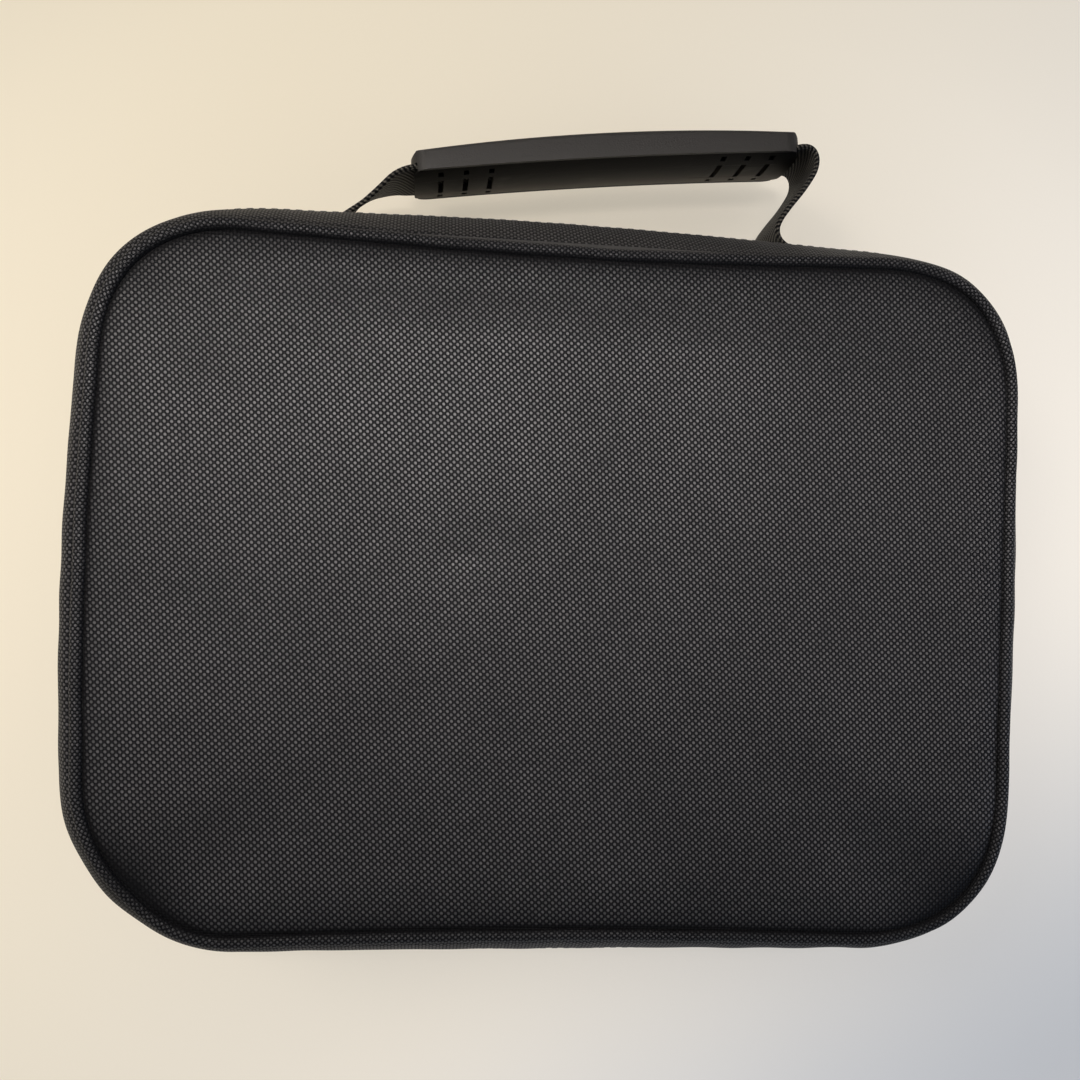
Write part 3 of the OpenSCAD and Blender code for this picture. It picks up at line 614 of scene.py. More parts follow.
# --- Topstitching ---
# One row of thick black thread runs along each folded edge and holds the wall to its tape.
# Every stitch dips into the cloth at both ends.
def clouded(name, gloss, lumps, low, high, depth=None, **sockets):
    """A material whose colour lies between low and high by soft noise, with the scale, detail
    and stretch that lumps gives, and whose skin rises with the noise by depth."""
    made, shader, spot = material(name, gloss, **sockets)
    cloud = noise(spot, *lumps)
    put(shader["Base Color"], mixed(cloud, low, high))
    if depth:
        put(shader["Normal"], bump(cloud, depth))
    return made


def rod(along, radius, lift, sides=6, flat=1.0):
    """A small closed rod: rings of the given radii at the given places along, moved out by lift,
    and flattened. The three coordinates are along, across and out."""
    turn = np.linspace(0, 2 * pi, sides, endpoint=False)
    along, radius, lift = (np.array(v, float)[:, None] * MM for v in (along, radius, lift))
    return grid(along, radius * np.cos(turn), lift + radius * flat * np.sin(turn))


def copies(name, shape, origin, along, across, out, finish):
    """Many copies of a small shape: each point is the copy's origin plus the shape's coordinates
    times the copy's own three directions."""
    axes = np.stack([np.broadcast_to(way, origin.shape) for way in (along, across, out)], 1)
    points = origin[:, None, None] + np.einsum("abi,kij->kabj", shape, axes)
    rows, columns = shape.shape[:2]
    faces = np.stack([a * columns + b % columns for a, b in net(rows, columns, (False, True))], 1)
    every = faces[None] + (np.arange(len(origin)) * rows * columns)[:, None, None]
    mesh = bpy.data.meshes.new(name)
    mesh.from_pydata(points.reshape(-1, 3).tolist(), [], every.reshape(-1, 4).tolist())
    tidy(mesh)
    return show(name, mesh, finish)


thread_black = clouded("thread_black", 0.42, (2600.0, 1.0), (0.010, 0.010, 0.011), (0.034, 0.033, 0.034),
                       0.00004, Sheen_Weight=0.1)
stitch = rod([-1.35, -1.3, -0.7, 0.7, 1.3, 1.35], [0, 0.18, 0.22, 0.22, 0.18, 0],
             [-0.42, -0.36, -0.1, -0.1, -0.36, -0.42])


def sewn(name, path, outward, body, pitch=3.2 * MM):
    """Stitches at an even pitch along a path of points, each turned along it."""
    run = np.r_[0, np.linalg.norm(np.diff(path, axis=0), axis=1).cumsum()]
    count = max(1, int(run[-1] / pitch))
    middle = (np.arange(count) + 0.5) * run[-1] / count
    unit = lambda v: v / np.linalg.norm(v, axis=1, keepdims=True)
    along = unit(look_up(middle + 0.6 * MM, run, path) - look_up(middle - 0.6 * MM, run, path))
    out = unit(look_up(middle, run, np.broadcast_to(outward, path.shape)))
    across = unit(np.cross(out, along))
    origin = look_up(middle, run, path)
    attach(copies(name, stitch, origin, along, across, out, thread_black), body)


arcs = np.linspace(0, SEAM, 1200)
for (half, line, seed), inset in zip(HALVES, (1.0, 0.8)):
    out, z = wall_face(*line, seed, arcs)
    at = line[2] + np.sign(line[1] - line[2]) * inset * MM
    order = np.argsort(z)
    rest_out = np.array([np.interp(at, z[order], row[order]) for row in out])
    sewn(half + "_topstitch", around(rest_out[:, None] + 0.04 * MM, at, arcs)[:, 0],
         np.c_[on_seam(arcs)[1], 0 * arcs], half)

# --- Zip ---
# A nylon coil zip runs round three sides. Each tape is a woven band sewn under the folded edge
# of its wall, and carries a coil of clear-cut loops that mesh with the other tape's.
ZIP_END = 84.1 * MM
zip_arcs = np.linspace(ZIP_END, SEAM - ZIP_END, 560)


def closed_ends(points):
    """Draws the first and the last row to a point, which closes the ends of a tube."""
    first, last = (np.broadcast_to(row.mean(1, keepdims=True), row.shape) for row in (points[:1], points[-1:]))
    return np.concatenate([first, points, last])


def band(low, high, outer, inner, count, arcs, swell=0.0):
    """A flat closed band that stands between two heights and lies between two depths behind
    the reach of the sides, all in millimetres: up its outer face, then down its inner one."""
    z = np.r_[np.linspace(low, high, count), np.linspace(high, low, count)] * MM
    inset = np.r_[np.full(count, outer), np.full(count, inner)] * MM
    return closed_ends(around(reach(z, arcs) - inset + swell, z, arcs))


def taped(name, warp_pitch, weft_pitch, low, high, depth, gloss, slanted=0.0):
    """Ribbed tape: fine ribs along or across it; the colour is lighter on the rib crowns and dark in the lines
    between them, a painted highlight and a painted shade.
    """
    made, shader, spot = material(name, gloss, Sheen_Weight=0.03, Specular_IOR_Level=0.2)
    along, across, _ = parted(node(made.node_tree, "UVMap", uv_map="cloth").outputs[0])
    rib = maths("SINE", (along + across * slanted) * (2 * pi / warp_pitch)) * 0.5 + 0.5
    cross = maths("SINE", across * (2 * pi / weft_pitch)) * 0.5 + 0.5
    height = rib * 0.7 + cross * 0.3
    worn = noise(spot, 60.0, 2.0)
    put(shader["Base Color"], mixed(steps(height, 0.35, 0.95) * (0.6 + worn * 0.4), low, high))
    put(shader["Roughness"], gloss + 0.25 - height * 0.25)
    put(shader["Normal"], bump(height, depth))
    return made


zip_cloth = taped("zip_tape_cloth", 0.55 * MM, 0.8 * MM, (0.004, 0.004, 0.005), (0.028, 0.027, 0.028),
                  0.00012, 0.55)
coil_nylon, coil, spot = material("coil_nylon", 0.28, Coat_Weight=0.15)
put(coil["Base Color"], mixed(noise(spot, 500.0, 2.0), (0.010, 0.010, 0.011), (0.026, 0.026, 0.028)))
put(coil["Normal"], bump(noise(spot, 1500.0, 1.0), 0.00002))
LOOP_PITCH = 1.7 * MM
loop = rod([-1.1, -1.05, -0.5, 0.5, 0.8, 1.05, 1.1], [0, 0.26, 0.34, 0.36, 0.42, 0.34, 0],
           [0, 0, 0, 0, 0.06, 0.04, 0], 6, 1.9)
for half, low, high, loop_z, shift, up in (
        ("lid", 51.6, 59.0, 50.8, 0.0, -1), ("base", 48.4, 41.0, 49.2, 0.5, 1)):
    points = band(low, high, 2.3, 3.1, 6, zip_arcs)
    fit(surface(half + "_zip_band", points, zip_cloth), half, half + "_zip_tape")
    places = np.arange(ZIP_END + 1.0 * MM + shift * LOOP_PITCH, SEAM - ZIP_END - 1.0 * MM, LOOP_PITCH)
    _, normal = on_seam(places)
    level = 0 * places
    origin = around(reach(loop_z * MM, places) - 2.6 * MM, loop_z * MM, places)[:, 0]
    row = copies(half + "_zip_coil", loop, origin, (0, 0, up), np.c_[-normal[:, 1], normal[:, 0], level],
                 np.c_[normal, level], coil_nylon)
    fit(row, half, half + "_zip_teeth")

# --- Cloth hinge and end tabs ---
# A strip of doubled case cloth joins the halves where the zip leaves off. A folded tab covers
# each end of the zip and is sewn to the base's half of it.
hinge_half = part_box("hinge_panel_lower")[1].x
hinge_arcs = np.linspace(-hinge_half, hinge_half, 160)
down = np.linspace(18, 0, 30)
swell = 0.25 * MM * np.sin(hinge_arcs / (9 * MM))[:, None] * np.sin(np.r_[down, down[::-1]] / 18 * pi)
points = band(59, 41, 2.3, 3.2, 30, hinge_arcs, swell)
hinge_cloth = surface("hinge_cloth", points, case_cloth)
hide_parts("hinge_panel_upper", "hinge_panel_lower")
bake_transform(hinge_cloth)


def squared(wave, power):
    """A sine or cosine raised to 2 / power with its sign kept, which squares off a round section."""
    return np.sign(wave) * np.abs(wave) ** (2 / power)


def pad_block(half, power, rows=24, columns=32):
    """A rounded block about its middle: a superellipsoid, whose latitude and longitude parts are
    signed powers of a sine and a cosine."""
    lat = np.linspace(-pi / 2, pi / 2, rows)[:, None]
    lon = np.linspace(0, 2 * pi, columns, endpoint=False)[None, :]
    waist = squared(np.cos(lat), power)
    return grid(waist * squared(np.cos(lon), power), waist * squared(np.sin(lon), power),
                squared(np.sin(lat), power)) * np.array(half)


tab_low, tab_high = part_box("zip_end_tabs")
tab_mid = (tab_low + tab_high) / 2
tab_cloth = taped("tab_cloth", 0.7 * MM, 0.7 * MM, (0.004, 0.004, 0.005), (0.03, 0.03, 0.031), 0.00012, 0.5)
tab_places = np.array([(side * (tab_high.x - 2.9 * MM), tab_mid.y, tab_mid.z) for side in (-1, 1)])
tab_shape = pad_block((2.8 * MM, 1.25 * MM, (tab_high.z - tab_low.z) / 2), 5.0)
tabs = copies("zip_end_tab_pair", tab_shape, tab_places, (1, 0, 0), (0, 1, 0), (0, 0, 1),
              tab_cloth)
tabs.data.uv_layers.new(name="cloth")
fit(tabs, "base", "zip_end_tabs")

# --- Carry handle: webbing ---
# One length of ribbed nylon webbing, sewn to the base wall at both ends with a box and a cross.
# It runs through the grip, and its ends twist a little as they leave the wall.
grip_mid = Vector((14.4, 127.6, 26.0)) * MM
grip_tilt, grip_half = radians(6.8), 58.5 * MM
grip_run = Vector((np.cos(grip_tilt), np.sin(grip_tilt), 0))
grip_away = Vector((-grip_run.y, grip_run.x, 0))
patch_low, patch_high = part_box("webbing_patch_left")
patch_y = (patch_low.y + patch_high.y) / 2
half_strap, half_thick = (patch_high.z - patch_low.z) / 2, 0.8 * MM


def smooth_path(knots, count):
    """Even places along a smooth curve through the knots: Catmull-Rom, whose tangent at a knot
    runs between its neighbours."""
    knots = np.array(knots, float)
    padded = np.r_[2 * knots[:1] - knots[1:2], knots, 2 * knots[-1:] - knots[-2:-1]]
    t = np.linspace(0, 1, 24, endpoint=False)[:, None]
    a, b, c, d = (padded[k:len(padded) - 3 + k, None] for k in range(4))
    curve = 0.5 * (2 * b + (c - a) * t + (2 * a - 5 * b + 4 * c - d) * t**2 + (3 * b - a - 3 * c + d) * t**3)
    curve = np.r_[curve.reshape(-1, knots.shape[1]), knots[-1:]]
    run = np.r_[0, np.linalg.norm(np.diff(curve[:, :2], axis=0), axis=1).cumsum()]
    return look_up(np.linspace(0, run[-1], count), run, curve)


def arch(x):
    """How far the grip's line bows out at x along it: it drops at both ends, as a square of x."""
    return (0.3 - 1.1 * (x / grip_half) ** 2) * MM


# place in plan and lean, in millimetres: the lean moves the lower edge out and the upper edge in
on_grip = [(*((grip_mid + grip_run * k * MM).xy / MM + Vector((0, arch(k * MM) / MM))), 0)
           for k in range(-56, 57, 14)]
wall_line = patch_y / MM
route = [(-82, wall_line, 0), (-76, wall_line, 0), (-70, wall_line, 0), (-66.6, wall_line + 0.8, 0.8),
         (-64.2, 106.6, 2.6), (-61.5, 110.0, 4.3), (-57.6, 113.0, 4.3), (-53.7, 115.7, 3.0),
         (-49.6, 118.3, 1.2), (-45.8, 119.5, 0.2), *on_grip,
         (72.0, 133.9, 0), (74.4, 134.0, 0), (76.2, 132.9, 0), (77.1, 130.6, 0), (76.8, 127.6, 0),
         (75.4, 124.6, 0), (72.7, 120.4, 0), (69.2, 115.8, 0), (66.4, 111.6, 0), (65.4, 108.4, 0),
         (66.2, 105.6, 0), (68.6, 103.6, 0), (72, wall_line, 0), (77, wall_line, 0), (82, wall_line, 0)]
middle = smooth_path(route, 420)
plan, leaning = middle[:, :2] * MM, middle[:, 2] * MM
heading = np.gradient(plan, axis=0)
heading /= np.linalg.norm(heading, axis=1, keepdims=True)
sideways = np.stack([-heading[:, 1], heading[:, 0]], 1)
round_end = np.linspace(-pi / 2, pi / 2, 7)[1:-1]
half_flat = half_strap - half_thick
up_side = np.r_[np.linspace(-1, 1, 21) * half_flat, half_flat + np.cos(round_end) * half_thick]
across_side = np.r_[-np.ones(21), np.sin(round_end)] * half_thick
section_w, section_t = np.r_[up_side, -up_side], np.r_[across_side, -across_side]
x, y = (plan[:, None] + sideways[:, None] * section_t[None, :, None]).transpose(2, 0, 1)
ribbon = closed_ends(grid(x, y - leaning[:, None] * section_w / half_strap, grip_mid.z + section_w))
# the webbing's light tone is a painted highlight on its ribs
strap_webbing = taped("strap_webbing", 1.35 * MM, 0.9 * MM, (0.0015, 0.0015, 0.0015), (0.125, 0.114, 0.095),
                      0.0005, 0.5, 0.45)
handle_strap = surface("handle_strap", ribbon, strap_webbing)
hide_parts("handle_webbing", "webbing_patch_left", "webbing_patch_right")
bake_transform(handle_strap)
down, top, y = grip_mid.z - 10.4 * MM, grip_mid.z + 10.4 * MM, patch_y + half_thick + 0.03 * MM
for side, low, high in (("left", -80.6 * MM, -68.2 * MM), ("right", 71.2 * MM, 80.6 * MM)):
    box = [(low, y, down), (high, y, down), (high, y, top), (low, y, top), (low, y, down), (high, y, top)]
    for part, corners in (("box", box), ("cross", [(low, y, top), (high, y, down)])):
        sewn("patch_%s_%s" % (part, side), np.array(corners, float), (0, 1, 0), "base", 2.9 * MM)

# --- Carry handle: grip ---
# Two black mouldings clipped together round the webbing: a channel-shaped cap outside, and in its opening a
# slightly swollen palm plate with three slots near each end. Their skin is finely sparked and rubbed paler in
# places, and the palm plate is painted grey towards its lower edge, a painted reflection of the table.
grain, given, results = group("grain", {"Fineness": 1800.0, "Wear": 0.3}, ["Height", "Rub"])
fine = noise(given["Where"], given["Fineness"], 3.0)
pits = node(grain, "TexVoronoi", {"Vector": given["Where"], "Scale": given["Fineness"] * 0.7}).outputs["Distance"]
put(results["Height"], fine * 0.6 + Wire(pits) * 0.4)
broad = noise(given["Where"], 70.0, 4.0)
streak = noise(given["Where"], 160.0, 3.0, (0.15, 1.0, 1.0))
put(results["Rub"], steps(broad * 0.55 + streak * 0.45, 0.62 - 0.2 * given["Wear"], 0.75))


def moulded(name, colour, wear_and_reflection_colour, gloss, fineness, depth, wear=0.3, low_edge_reflection=0.0, **sockets):
    """Moulded plastic, rubber or metal: a sparked skin, rubbed smoother and paler in places, and paler by a share
    towards the grip's lower edge, a painted reflection of the table."""
    made, shader, spot = material(name, gloss, **sockets)
    skin = use(grain, spot, Fineness=fineness, Wear=wear)
    wear_and_reflection = skin["Rub"] * 0.6 + skin["Height"] * 0.25
    if low_edge_reflection:
        # painted reflection: paler towards the lower edge, where the bright table is reflected
        wear_and_reflection = wear_and_reflection * 0.3 + steps(parted(spot)[2], 0.013, 0.033, low_edge_reflection, 0.0)
    put(shader["Base Color"], mixed(wear_and_reflection, colour, wear_and_reflection_colour))
    put(shader["Roughness"], gloss + skin["Height"] * 0.16 - skin["Rub"] * 0.10)
    put(shader["Normal"], bump(skin["Height"], depth))
    return made


SHARP = radians(32)


def eased(name, node_name, width, finish, body, cuts=(), bend=None):
    """A copy of a moulding with its edges eased: merged, its flat faces joined up, cut across at
    the places where it bends, and bevelled."""
    work = bmesh.new()
    work.from_mesh(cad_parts[node_name].data)
    bmesh.ops.remove_doubles(work, verts=work.verts, dist=2e-6)
    bmesh.ops.dissolve_limit(work, angle_limit=radians(0.6), verts=work.verts, edges=work.edges)
    for place, normal in cuts:
        every = work.verts[:] + work.edges[:] + work.faces[:]
        bmesh.ops.bisect_plane(work, geom=every, plane_co=place, plane_no=normal)
    if bend:
        for vert in work.verts:
            vert.co = bend(vert.co)
    bmesh.ops.recalc_face_normals(work, faces=work.faces)
    mesh = bpy.data.meshes.new(name)
    work.to_mesh(mesh)
    work.free()
    piece = show(name, mesh, finish)
    mesh.set_sharp_from_angle(angle=SHARP)
    bevel = piece.modifiers.new("eased_edges", "BEVEL")
    bevel.width, bevel.segments, bevel.angle_limit = width, 2, SHARP
    bevel.use_clamp_overlap, bevel.harden_normals = True, True
    fit(piece, body, node_name)


def bowed(place):
    """Bows the grip's straight mouldings, which have slid a little along the webbing, and swells
    the cap's outer face between its ends."""
    along, out = (place - grip_mid).dot(grip_run), (place - grip_mid).dot(grip_away)
    swell = max(out, 0) / (5 * MM) * (0.7 * MM - 1.6 * MM * (along / grip_half) ** 2)
    return place + grip_away * (arch(along) + swell) - grip_run * 0.7 * MM


cap_black = moulded("cap_black", (0.028, 0.0255, 0.023), (0.062, 0.056, 0.050), 0.46, 2200.0, 0.00008,
                    Specular_IOR_Level=0.3)
# the palm's pale lower edge is a painted reflection of the table
palm_black = moulded("palm_black", (0.002, 0.002, 0.002), (0.21, 0.195, 0.170), 0.50, 2200.0, 0.00006,
                     low_edge_reflection=0.85, Specular_IOR_Level=0.06)
across_cuts = [(grip_mid + grip_run * k * MM, grip_run) for k in range(-54, 55, 6)]
for part, ease, finish in (("cap", 0.35, cap_black), ("palm", 0.20, palm_black)):
    eased("grip_%s_moulding" % part, "grip_" + part, ease * MM, finish, "handle",
          across_cuts, bowed)

# --- Zip sliders and pulls ---
# Two die-cast sliders in worn black enamel, each with a moulded rubber pull on its pin.
black_enamel = moulded("black_enamel", (0.016, 0.016, 0.018), (0.16, 0.155, 0.15), 0.30, 900.0, 0.00003, 0.8,
                       Metallic=0.55, Coat_Weight=0.3)
pull_rubber = moulded("pull_rubber_skin", (0.014, 0.014, 0.014), (0.032, 0.031, 0.030), 0.55, 2200.0, 0.00008)
for which in ("upper", "lower"):
    slider, pull = "zip_slider_" + which, "zip_pull_" + which
    eased(slider + "_casting", slider, 0.25 * MM, black_enamel, which + "_slider")
    eased(pull + "_tab", pull, 0.3 * MM, pull_rubber, which + "_pull")

# --- Stiffener boards ---
# Flat grey-black fibre boards behind the front and back panels keep them flat.
fibre_board, fibre, spot = material("fibre_board", 0.8)
strands = noise(spot, 400.0, 5.0, (1.0, 0.2, 1.0)) * 0.5 + noise(spot, 90.0, 3.0) * 0.5
put(fibre["Base Color"], mixed(strands, (0.010, 0.010, 0.010), (0.045, 0.042, 0.038)))
put(fibre["Normal"], bump(strands, 0.0001))


def dress(finish, *node_names):
    """Gives CAD nodes, whose shape is right as it is, a finished material."""
    for node_name in node_names:
        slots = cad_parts[node_name].data.materials
        slots.clear()
        slots.append(finish)


dress(fibre_board, "lid_stiffener_board", "base_stiffener_board")

# --- Lining ---
# Thin charcoal taffeta, glued over the inside of each half: a floor and a wall in one, which
# follow the padding. Black tape binds the raw edge round each floor.
taffeta = woven("taffeta", 0.34 * MM, 0.34 * MM, (0.010, 0.010, 0.011), (0.050, 0.049, 0.051),
                (0.030, 0.030, 0.032), 0.06 * MM, 0.35)
binding_grosgrain = taped("binding_grosgrain", 0.6 * MM, 2.4 * MM, (0.004, 0.004, 0.004), (0.030, 0.029, 0.029),
                          0.00012, 0.5)
RIM_OUT, LINING_T = -2.9 * MM, 0.6 * MM


def lining(half, line, seed, floor_z):
    """A closed polar grid: the floor's outer side from its middle to the rim, the wall's outer
    side, a fold at the zip, then both inner sides back, a lining's thickness further in."""
    up = np.sign(line[2] - line[0])
    out, z = wall_back(*line, seed, 0.1 * MM)
    out[:, 0] = RIM_OUT
    run = np.linspace(0, 1, 24)[:, None]
    rim = around(RIM_OUT, floor_z)[:, 0, :2]
    floor = rim[:, None] * run[None]
    ripple = 0.12 * MM * np.sin(floor[..., 0] / (13 * MM)) * np.sin(floor[..., 1] / (17 * MM) + seed)
    skirt = around(out, z)
    inner = around(out - LINING_T, z + up * LINING_T * to_foot)
    layer = lambda lift, scale: grid(floor[..., 0] * scale, floor[..., 1] * scale, floor_z + up * lift + ripple)
    points = np.concatenate([layer(0, 1.0), skirt, inner[:, ::-1], layer(LINING_T, 0.995)[:, ::-1]], 1)
    side = grid(ALL_ROUND[:, None], z)
    cloth = np.concatenate([floor, side, side[:, ::-1], floor[:, ::-1]], 1)
    piece = surface(half + "_lining_cloth", points, taffeta, (True, False),
                    uv=np.concatenate([cloth, cloth[:1]]))
    fit(piece, half, half + "_lining")
    return piece


def binding(low, high, half):
    """A folded tape: a squared-off round section carried along the rim of the floor."""
    turn = np.linspace(0, 2 * pi, 24, endpoint=False)
    out = -4.55 * MM + squared(np.cos(turn), 2 / 0.7) * 0.7 * MM
    z = (low + high) / 2 + squared(np.sin(turn), 4) * (high - low) / 2
    piece = surface(half + "_binding", around(out, z), binding_grosgrain, (True, True))
    fit(piece, half, half + "_seam_binding")


base_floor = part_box("base_seam_binding")[0].z
lid_floor = front_z - base_floor
for half, floor_z, flat, area in ((HALVES[0], lid_floor + 0.7 * MM, (0.30, 0.24), 0.060),
                                  (HALVES[1], base_floor - 0.7 * MM, (0.33, 0.27), 0.076)):
    piece = lining(*half, floor_z)
binding(lid_floor - 3 * MM, lid_floor, "lid")
binding(base_floor, base_floor + 3 * MM, "base")

# --- Netting pocket ---
# A shallow pouch of knotted nylon netting, sewn to the lid's lining on three sides. Its open
# edge towards the handle is gathered on a ribbed elastic.
net_low, net_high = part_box("lid_mesh_pocket")
net_size = net_high - net_low
CELL, EDGE = 2.3 * MM, 0.4 * MM
u = np.linspace(net_low.x + EDGE, net_high.x - EDGE, int(net_size.x / CELL))[:, None]
v = np.linspace(net_low.y + EDGE, net_high.y, int(net_size.y / CELL))[None, :]
smooth = lambda t: np.clip(t, 0, 1) ** 2 * (3 - 2 * np.clip(t, 0, 1))
lifted = smooth((net_high.x - np.abs(u)) / (9 * MM)) * smooth((v - net_low.y) / (9 * MM))
sway = 0.35 * MM * np.sin(u / (9 * MM) + v / (23 * MM)) * np.sin(v / (11 * MM) - u / (31 * MM))
depth = net_high.z - 0.3 * MM - (net_size.z - 0.9 * MM) * lifted + sway * lifted
points = grid(u + EDGE * np.sin(v / (7 * MM)), v + EDGE * np.sin(u / (6 * MM)), depth)
nylon_net = clouded("nylon_net", 0.45, (900.0, 2.0), (0.010, 0.010, 0.010), (0.05, 0.049, 0.048), 0.00008,
                    Sheen_Weight=0.1)
pouch = surface("netting_pouch", points, nylon_net, (False, False))
bars = pouch.modifiers.new("knotted_bars", "WIREFRAME")
bars.thickness, bars.use_even_offset, bars.use_boundary, bars.use_replace = 0.90 * MM, False, True, True
fit(pouch, "lid", "lid_mesh_pocket")

elastic_low, elastic_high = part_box("mesh_pocket_elastic")
elastic_mid, elastic_half = (elastic_low + elastic_high) / 2, (elastic_high - elastic_low) / 2
x = np.linspace(elastic_low.x + EDGE, elastic_high.x - EDGE, 300)[:, None]
turn = np.linspace(0, 2 * pi, 20, endpoint=False)
droop = (net_high.z - elastic_high.z + 0.3 * MM) * (1 - smooth((elastic_high.x - np.abs(x)) / (9 * MM)))
gather = 0.28 * MM * np.sin(x / (1.1 * MM))
y = elastic_mid.y + (elastic_half.y - 0.3 * MM + gather * 0.6) * squared(np.cos(turn), 3.0)
z = elastic_mid.z + (droop + gather * 0.5) + 0.55 * MM * squared(np.sin(turn), 2.5)
points = closed_ends(grid(x, y, z))
elastic_rib = taped("elastic_rib", 1.1 * MM, 0.9 * MM, (0.004, 0.004, 0.004), (0.035, 0.034, 0.034),
                    0.0002, 0.5)
elastic = surface("pocket_elastic", points, elastic_rib)
fit(elastic, "lid", "mesh_pocket_elastic")

# --- Foam tray ---
# A block of charcoal closed-cell foam, milled with a pocket for the booster, one for the leads
# and one for the charger. The cutter leaves fine open pores.
cell_foam, foam, spot = material("cell_foam", 0.92, Sheen_Weight=0.15)
pore = Wire(node(cell_foam.node_tree, "TexVoronoi", {"Vector": spot, "Scale": 1500.0}).outputs["Distance"])
pore_edge = steps(pore, 0.15, 0.75)
shade = pore_edge * 0.7 + noise(spot, 45.0, 3.0) * 0.3
put(foam["Base Color"], mixed(shade, (0.012, 0.012, 0.013), (0.048, 0.048, 0.050)))
put(foam["Normal"], bump(pore_edge, 0.00022, bump(noise(spot, 220.0, 3.0), 0.0004)))
eased("foam_tray_block", "foam_tray", 0.9 * MM, cell_foam, "base")

# --- Booster: housing ---
# Two shells of black glass-filled nylon, screwed together from below, with a soft rubber
# bumper pushed over each end. The button and the port cover are parts of their own.
shell_nylon = moulded("shell_nylon", (0.020, 0.021, 0.023), (0.050, 0.051, 0.054), 0.42, 1500.0, 0.00007)
bumper_rubber = moulded("bumper_rubber", (0.011, 0.011, 0.012), (0.028, 0.028, 0.029), 0.62, 1100.0, 0.00012)
eased("booster_lower_shell", "booster_shell_bottom", 0.4 * MM, shell_nylon, "base")
eased("booster_upper_shell", "booster_shell_top", 0.4 * MM, shell_nylon, "base")
for end in ("left", "right"):
    eased("booster_%s_bumper" % end, "booster_bumper_" + end, 0.7 * MM, bumper_rubber, "base")
eased("port_cover_flap", "booster_port_cover", 0.3 * MM, bumper_rubber, "port_cover")


def turned(name, middle, axis, profile, finish, count=64):
    """A turned piece: the profile's pairs of radius and height, in millimetres, carried round
    the axis, with its first and last pair on the axis."""
    radius, height = np.array(profile, float).T[:, :, None] * MM
    turn = np.linspace(0, 2 * pi, count, endpoint=False)
    ring = grid(radius * np.cos(turn), radius * np.sin(turn), height)
    return surface(name, ring[..., ((2, 1, 0) if axis == "X" else (0, 1, 2))] + np.array(middle), finish)


# a stem, a flange with a rounded rim and a dished top
low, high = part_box("booster_power_button")
button_red = moulded("button_silicone", (0.42, 0.030, 0.016), (0.58, 0.075, 0.045), 0.38, 1200.0,
                     0.00005, 0.2)
r, top, bottom = (high.x - low.x) / 2 / MM, (high.z - low.z) / MM, 1.9
rim = [(r - 0.7 + 0.7 * np.cos(a), top - 0.7 + 0.7 * np.sin(a)) for a in np.linspace(0.1, pi / 2, 7)]
dish = [((r - 1.6) * (1 - k), top - 0.55 * np.sin(k * pi / 2) ** 0.7) for k in np.linspace(0, 1, 9)[1:]]
under = [(0, 0), (1.45, 0), (1.45, bottom), (r - 0.1, bottom), (r, bottom + 0.2), (r, top - 0.9)]
button = turned("power_button_cap", ((low.x + high.x) / 2, (low.y + high.y) / 2, low.z), "Z",
                [*under, *rim, *dish], button_red)
fit(button, "power_button", "booster_power_button")

# --- Booster: torch and lights ---
# A vacuum-metallised reflector behind a clear window lights the left end. Four milky light
# pipes beside the button show the charge.
chrome, mirror, spot = material("vacuum_chrome", 0.08, Metallic=1.0)
haze = noise(spot, 300.0, 3.0)
put(mirror["Base Color"], mixed(haze, (0.80, 0.81, 0.82), (0.90, 0.905, 0.91)))
put(mirror["Roughness"], 0.05 + haze * 0.10)
clear_window = clouded("clear_window", 0.04, (120.0, 2.0), (0.93, 0.96, 0.97), (0.99, 1.0, 1.0),
                       Transmission_Weight=1.0, IOR=1.49)
milky_pipe = clouded("milky_pipe", 0.3, (800.0, 2.0), (0.45, 0.62, 0.50), (0.60, 0.74, 0.64),
                     Transmission_Weight=0.4, IOR=1.49)
dish_low, dish_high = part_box("booster_torch_reflector")
dish_mid = (dish_low.x, (dish_low.y + dish_high.y) / 2, (dish_low.z + dish_high.z) / 2)
bowl = [(8.5 - 6.0 * k, 6.4 * (1 - (1 - k) ** 2) ** 0.9) for k in np.linspace(0, 1, 18)]
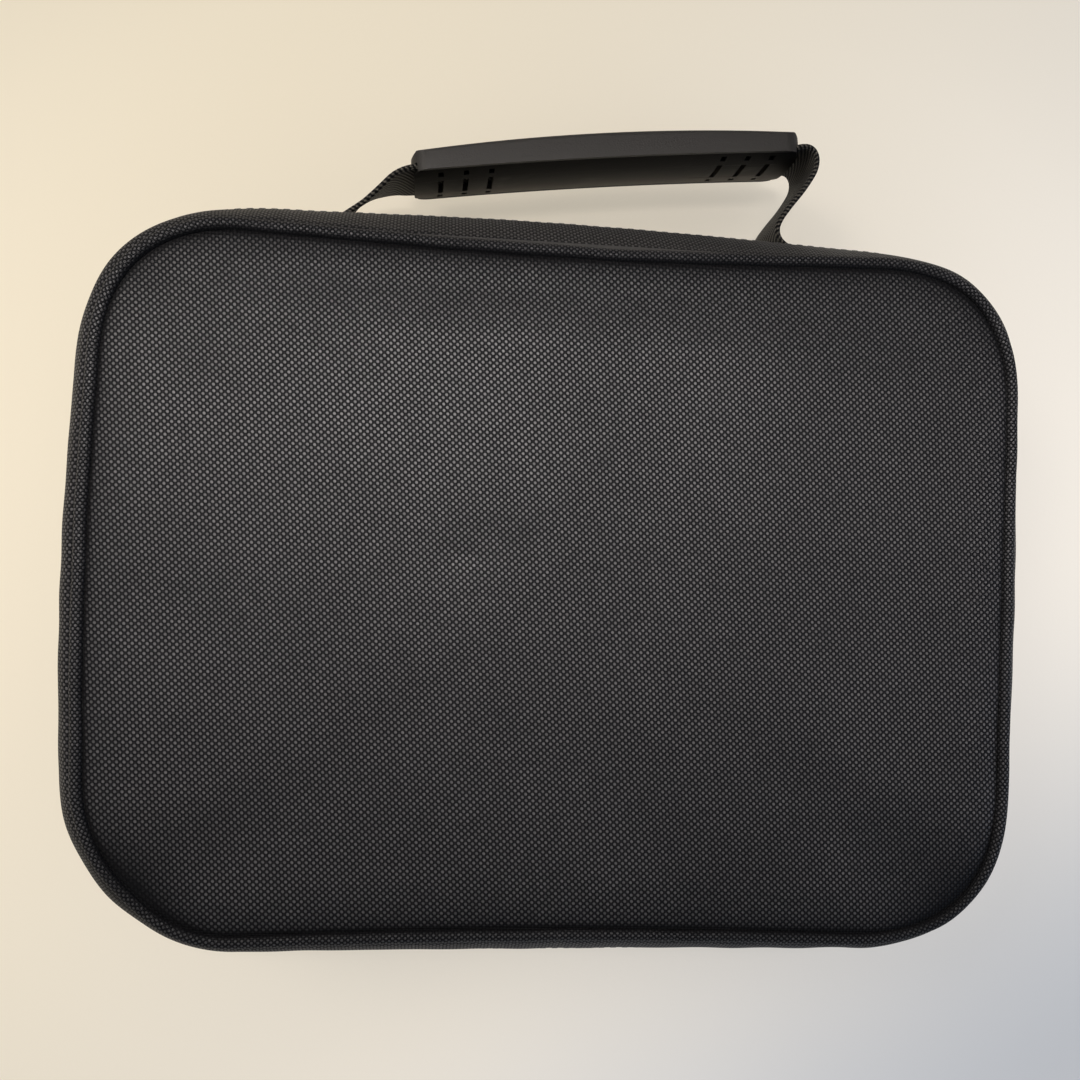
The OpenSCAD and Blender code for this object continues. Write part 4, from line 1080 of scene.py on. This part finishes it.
reflector = turned("torch_reflector_dish", dish_mid, "X",
                   [(0, 8.0), (8.6, 8.0), (9.0, 7.6), (9.0, 0.3), (8.8, 0.02), (8.55, 0.0), *bowl,
                    (2.0, 6.6), (1.1, 5.4), (0.6, 5.1), (0, 5.05)][::-1], chrome)
fit(reflector, "base", "booster_torch_reflector")
lens_low, lens_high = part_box("booster_torch_lens")
thick = (lens_high.x - lens_low.x) / MM
lens = turned("torch_window", (lens_low.x, dish_mid[1], dish_mid[2]), "X",
              [(0, 0), (4, 0.03), (7.4, 0.1), (8.6, 0.3), (9.0, 0.7), (9.0, thick - 0.2), (8.8, thick),
               (0, thick)], clear_window)
fit(lens, "base", "booster_torch_lens")
dress(milky_pipe, "booster_charge_lights")

# --- Booster: works ---
# Four silver pouch cells lie in two stacks under a green circuit board. A blue output socket
# and two steel ports sit in the right end, and steel screws hold the shells.
pouch_foil = clouded("pouch_foil", 0.32, (130.0, 4.0, (1.0, 0.6, 1.0)), (0.42, 0.43, 0.45), (0.62, 0.63, 0.65),
                     0.0004, Metallic=0.85)
circuit_green, circuit, spot = material("circuit_green", 0.35, Coat_Weight=0.3)
track = Wire(node(circuit_green.node_tree, "TexBrick", {
    "Vector": spot, "Scale": 160.0, "Mortar Size": 0.045, "Mortar Smooth": 0.1, "Brick Width": 1.4,
    "Row Height": 0.3}).outputs["Fac"])
put(circuit["Base Color"], mixed(track, (0.010, 0.085, 0.032), (0.035, 0.19, 0.075)))
put(circuit["Normal"], bump(track, 0.00006))
socket_nylon = moulded("socket_nylon", (0.020, 0.062, 0.20), (0.045, 0.11, 0.28), 0.35, 1600.0, 0.00004)
port_steel = moulded("port_steel", (0.42, 0.42, 0.41), (0.60, 0.60, 0.59), 0.22, 700.0, 0.00002, 0.6,
                     Metallic=1.0)
screw_steel = moulded("screw_steel", (0.20, 0.20, 0.21), (0.42, 0.42, 0.42), 0.28, 900.0, 0.00003, 0.6,
                      Metallic=1.0)
for finish, part in ((pouch_foil, "cells"), (circuit_green, "circuit_board"), (socket_nylon, "socket"),
                     (port_steel, "usb_ports"), (screw_steel, "screws")):
    dress(finish, "booster_" + part)
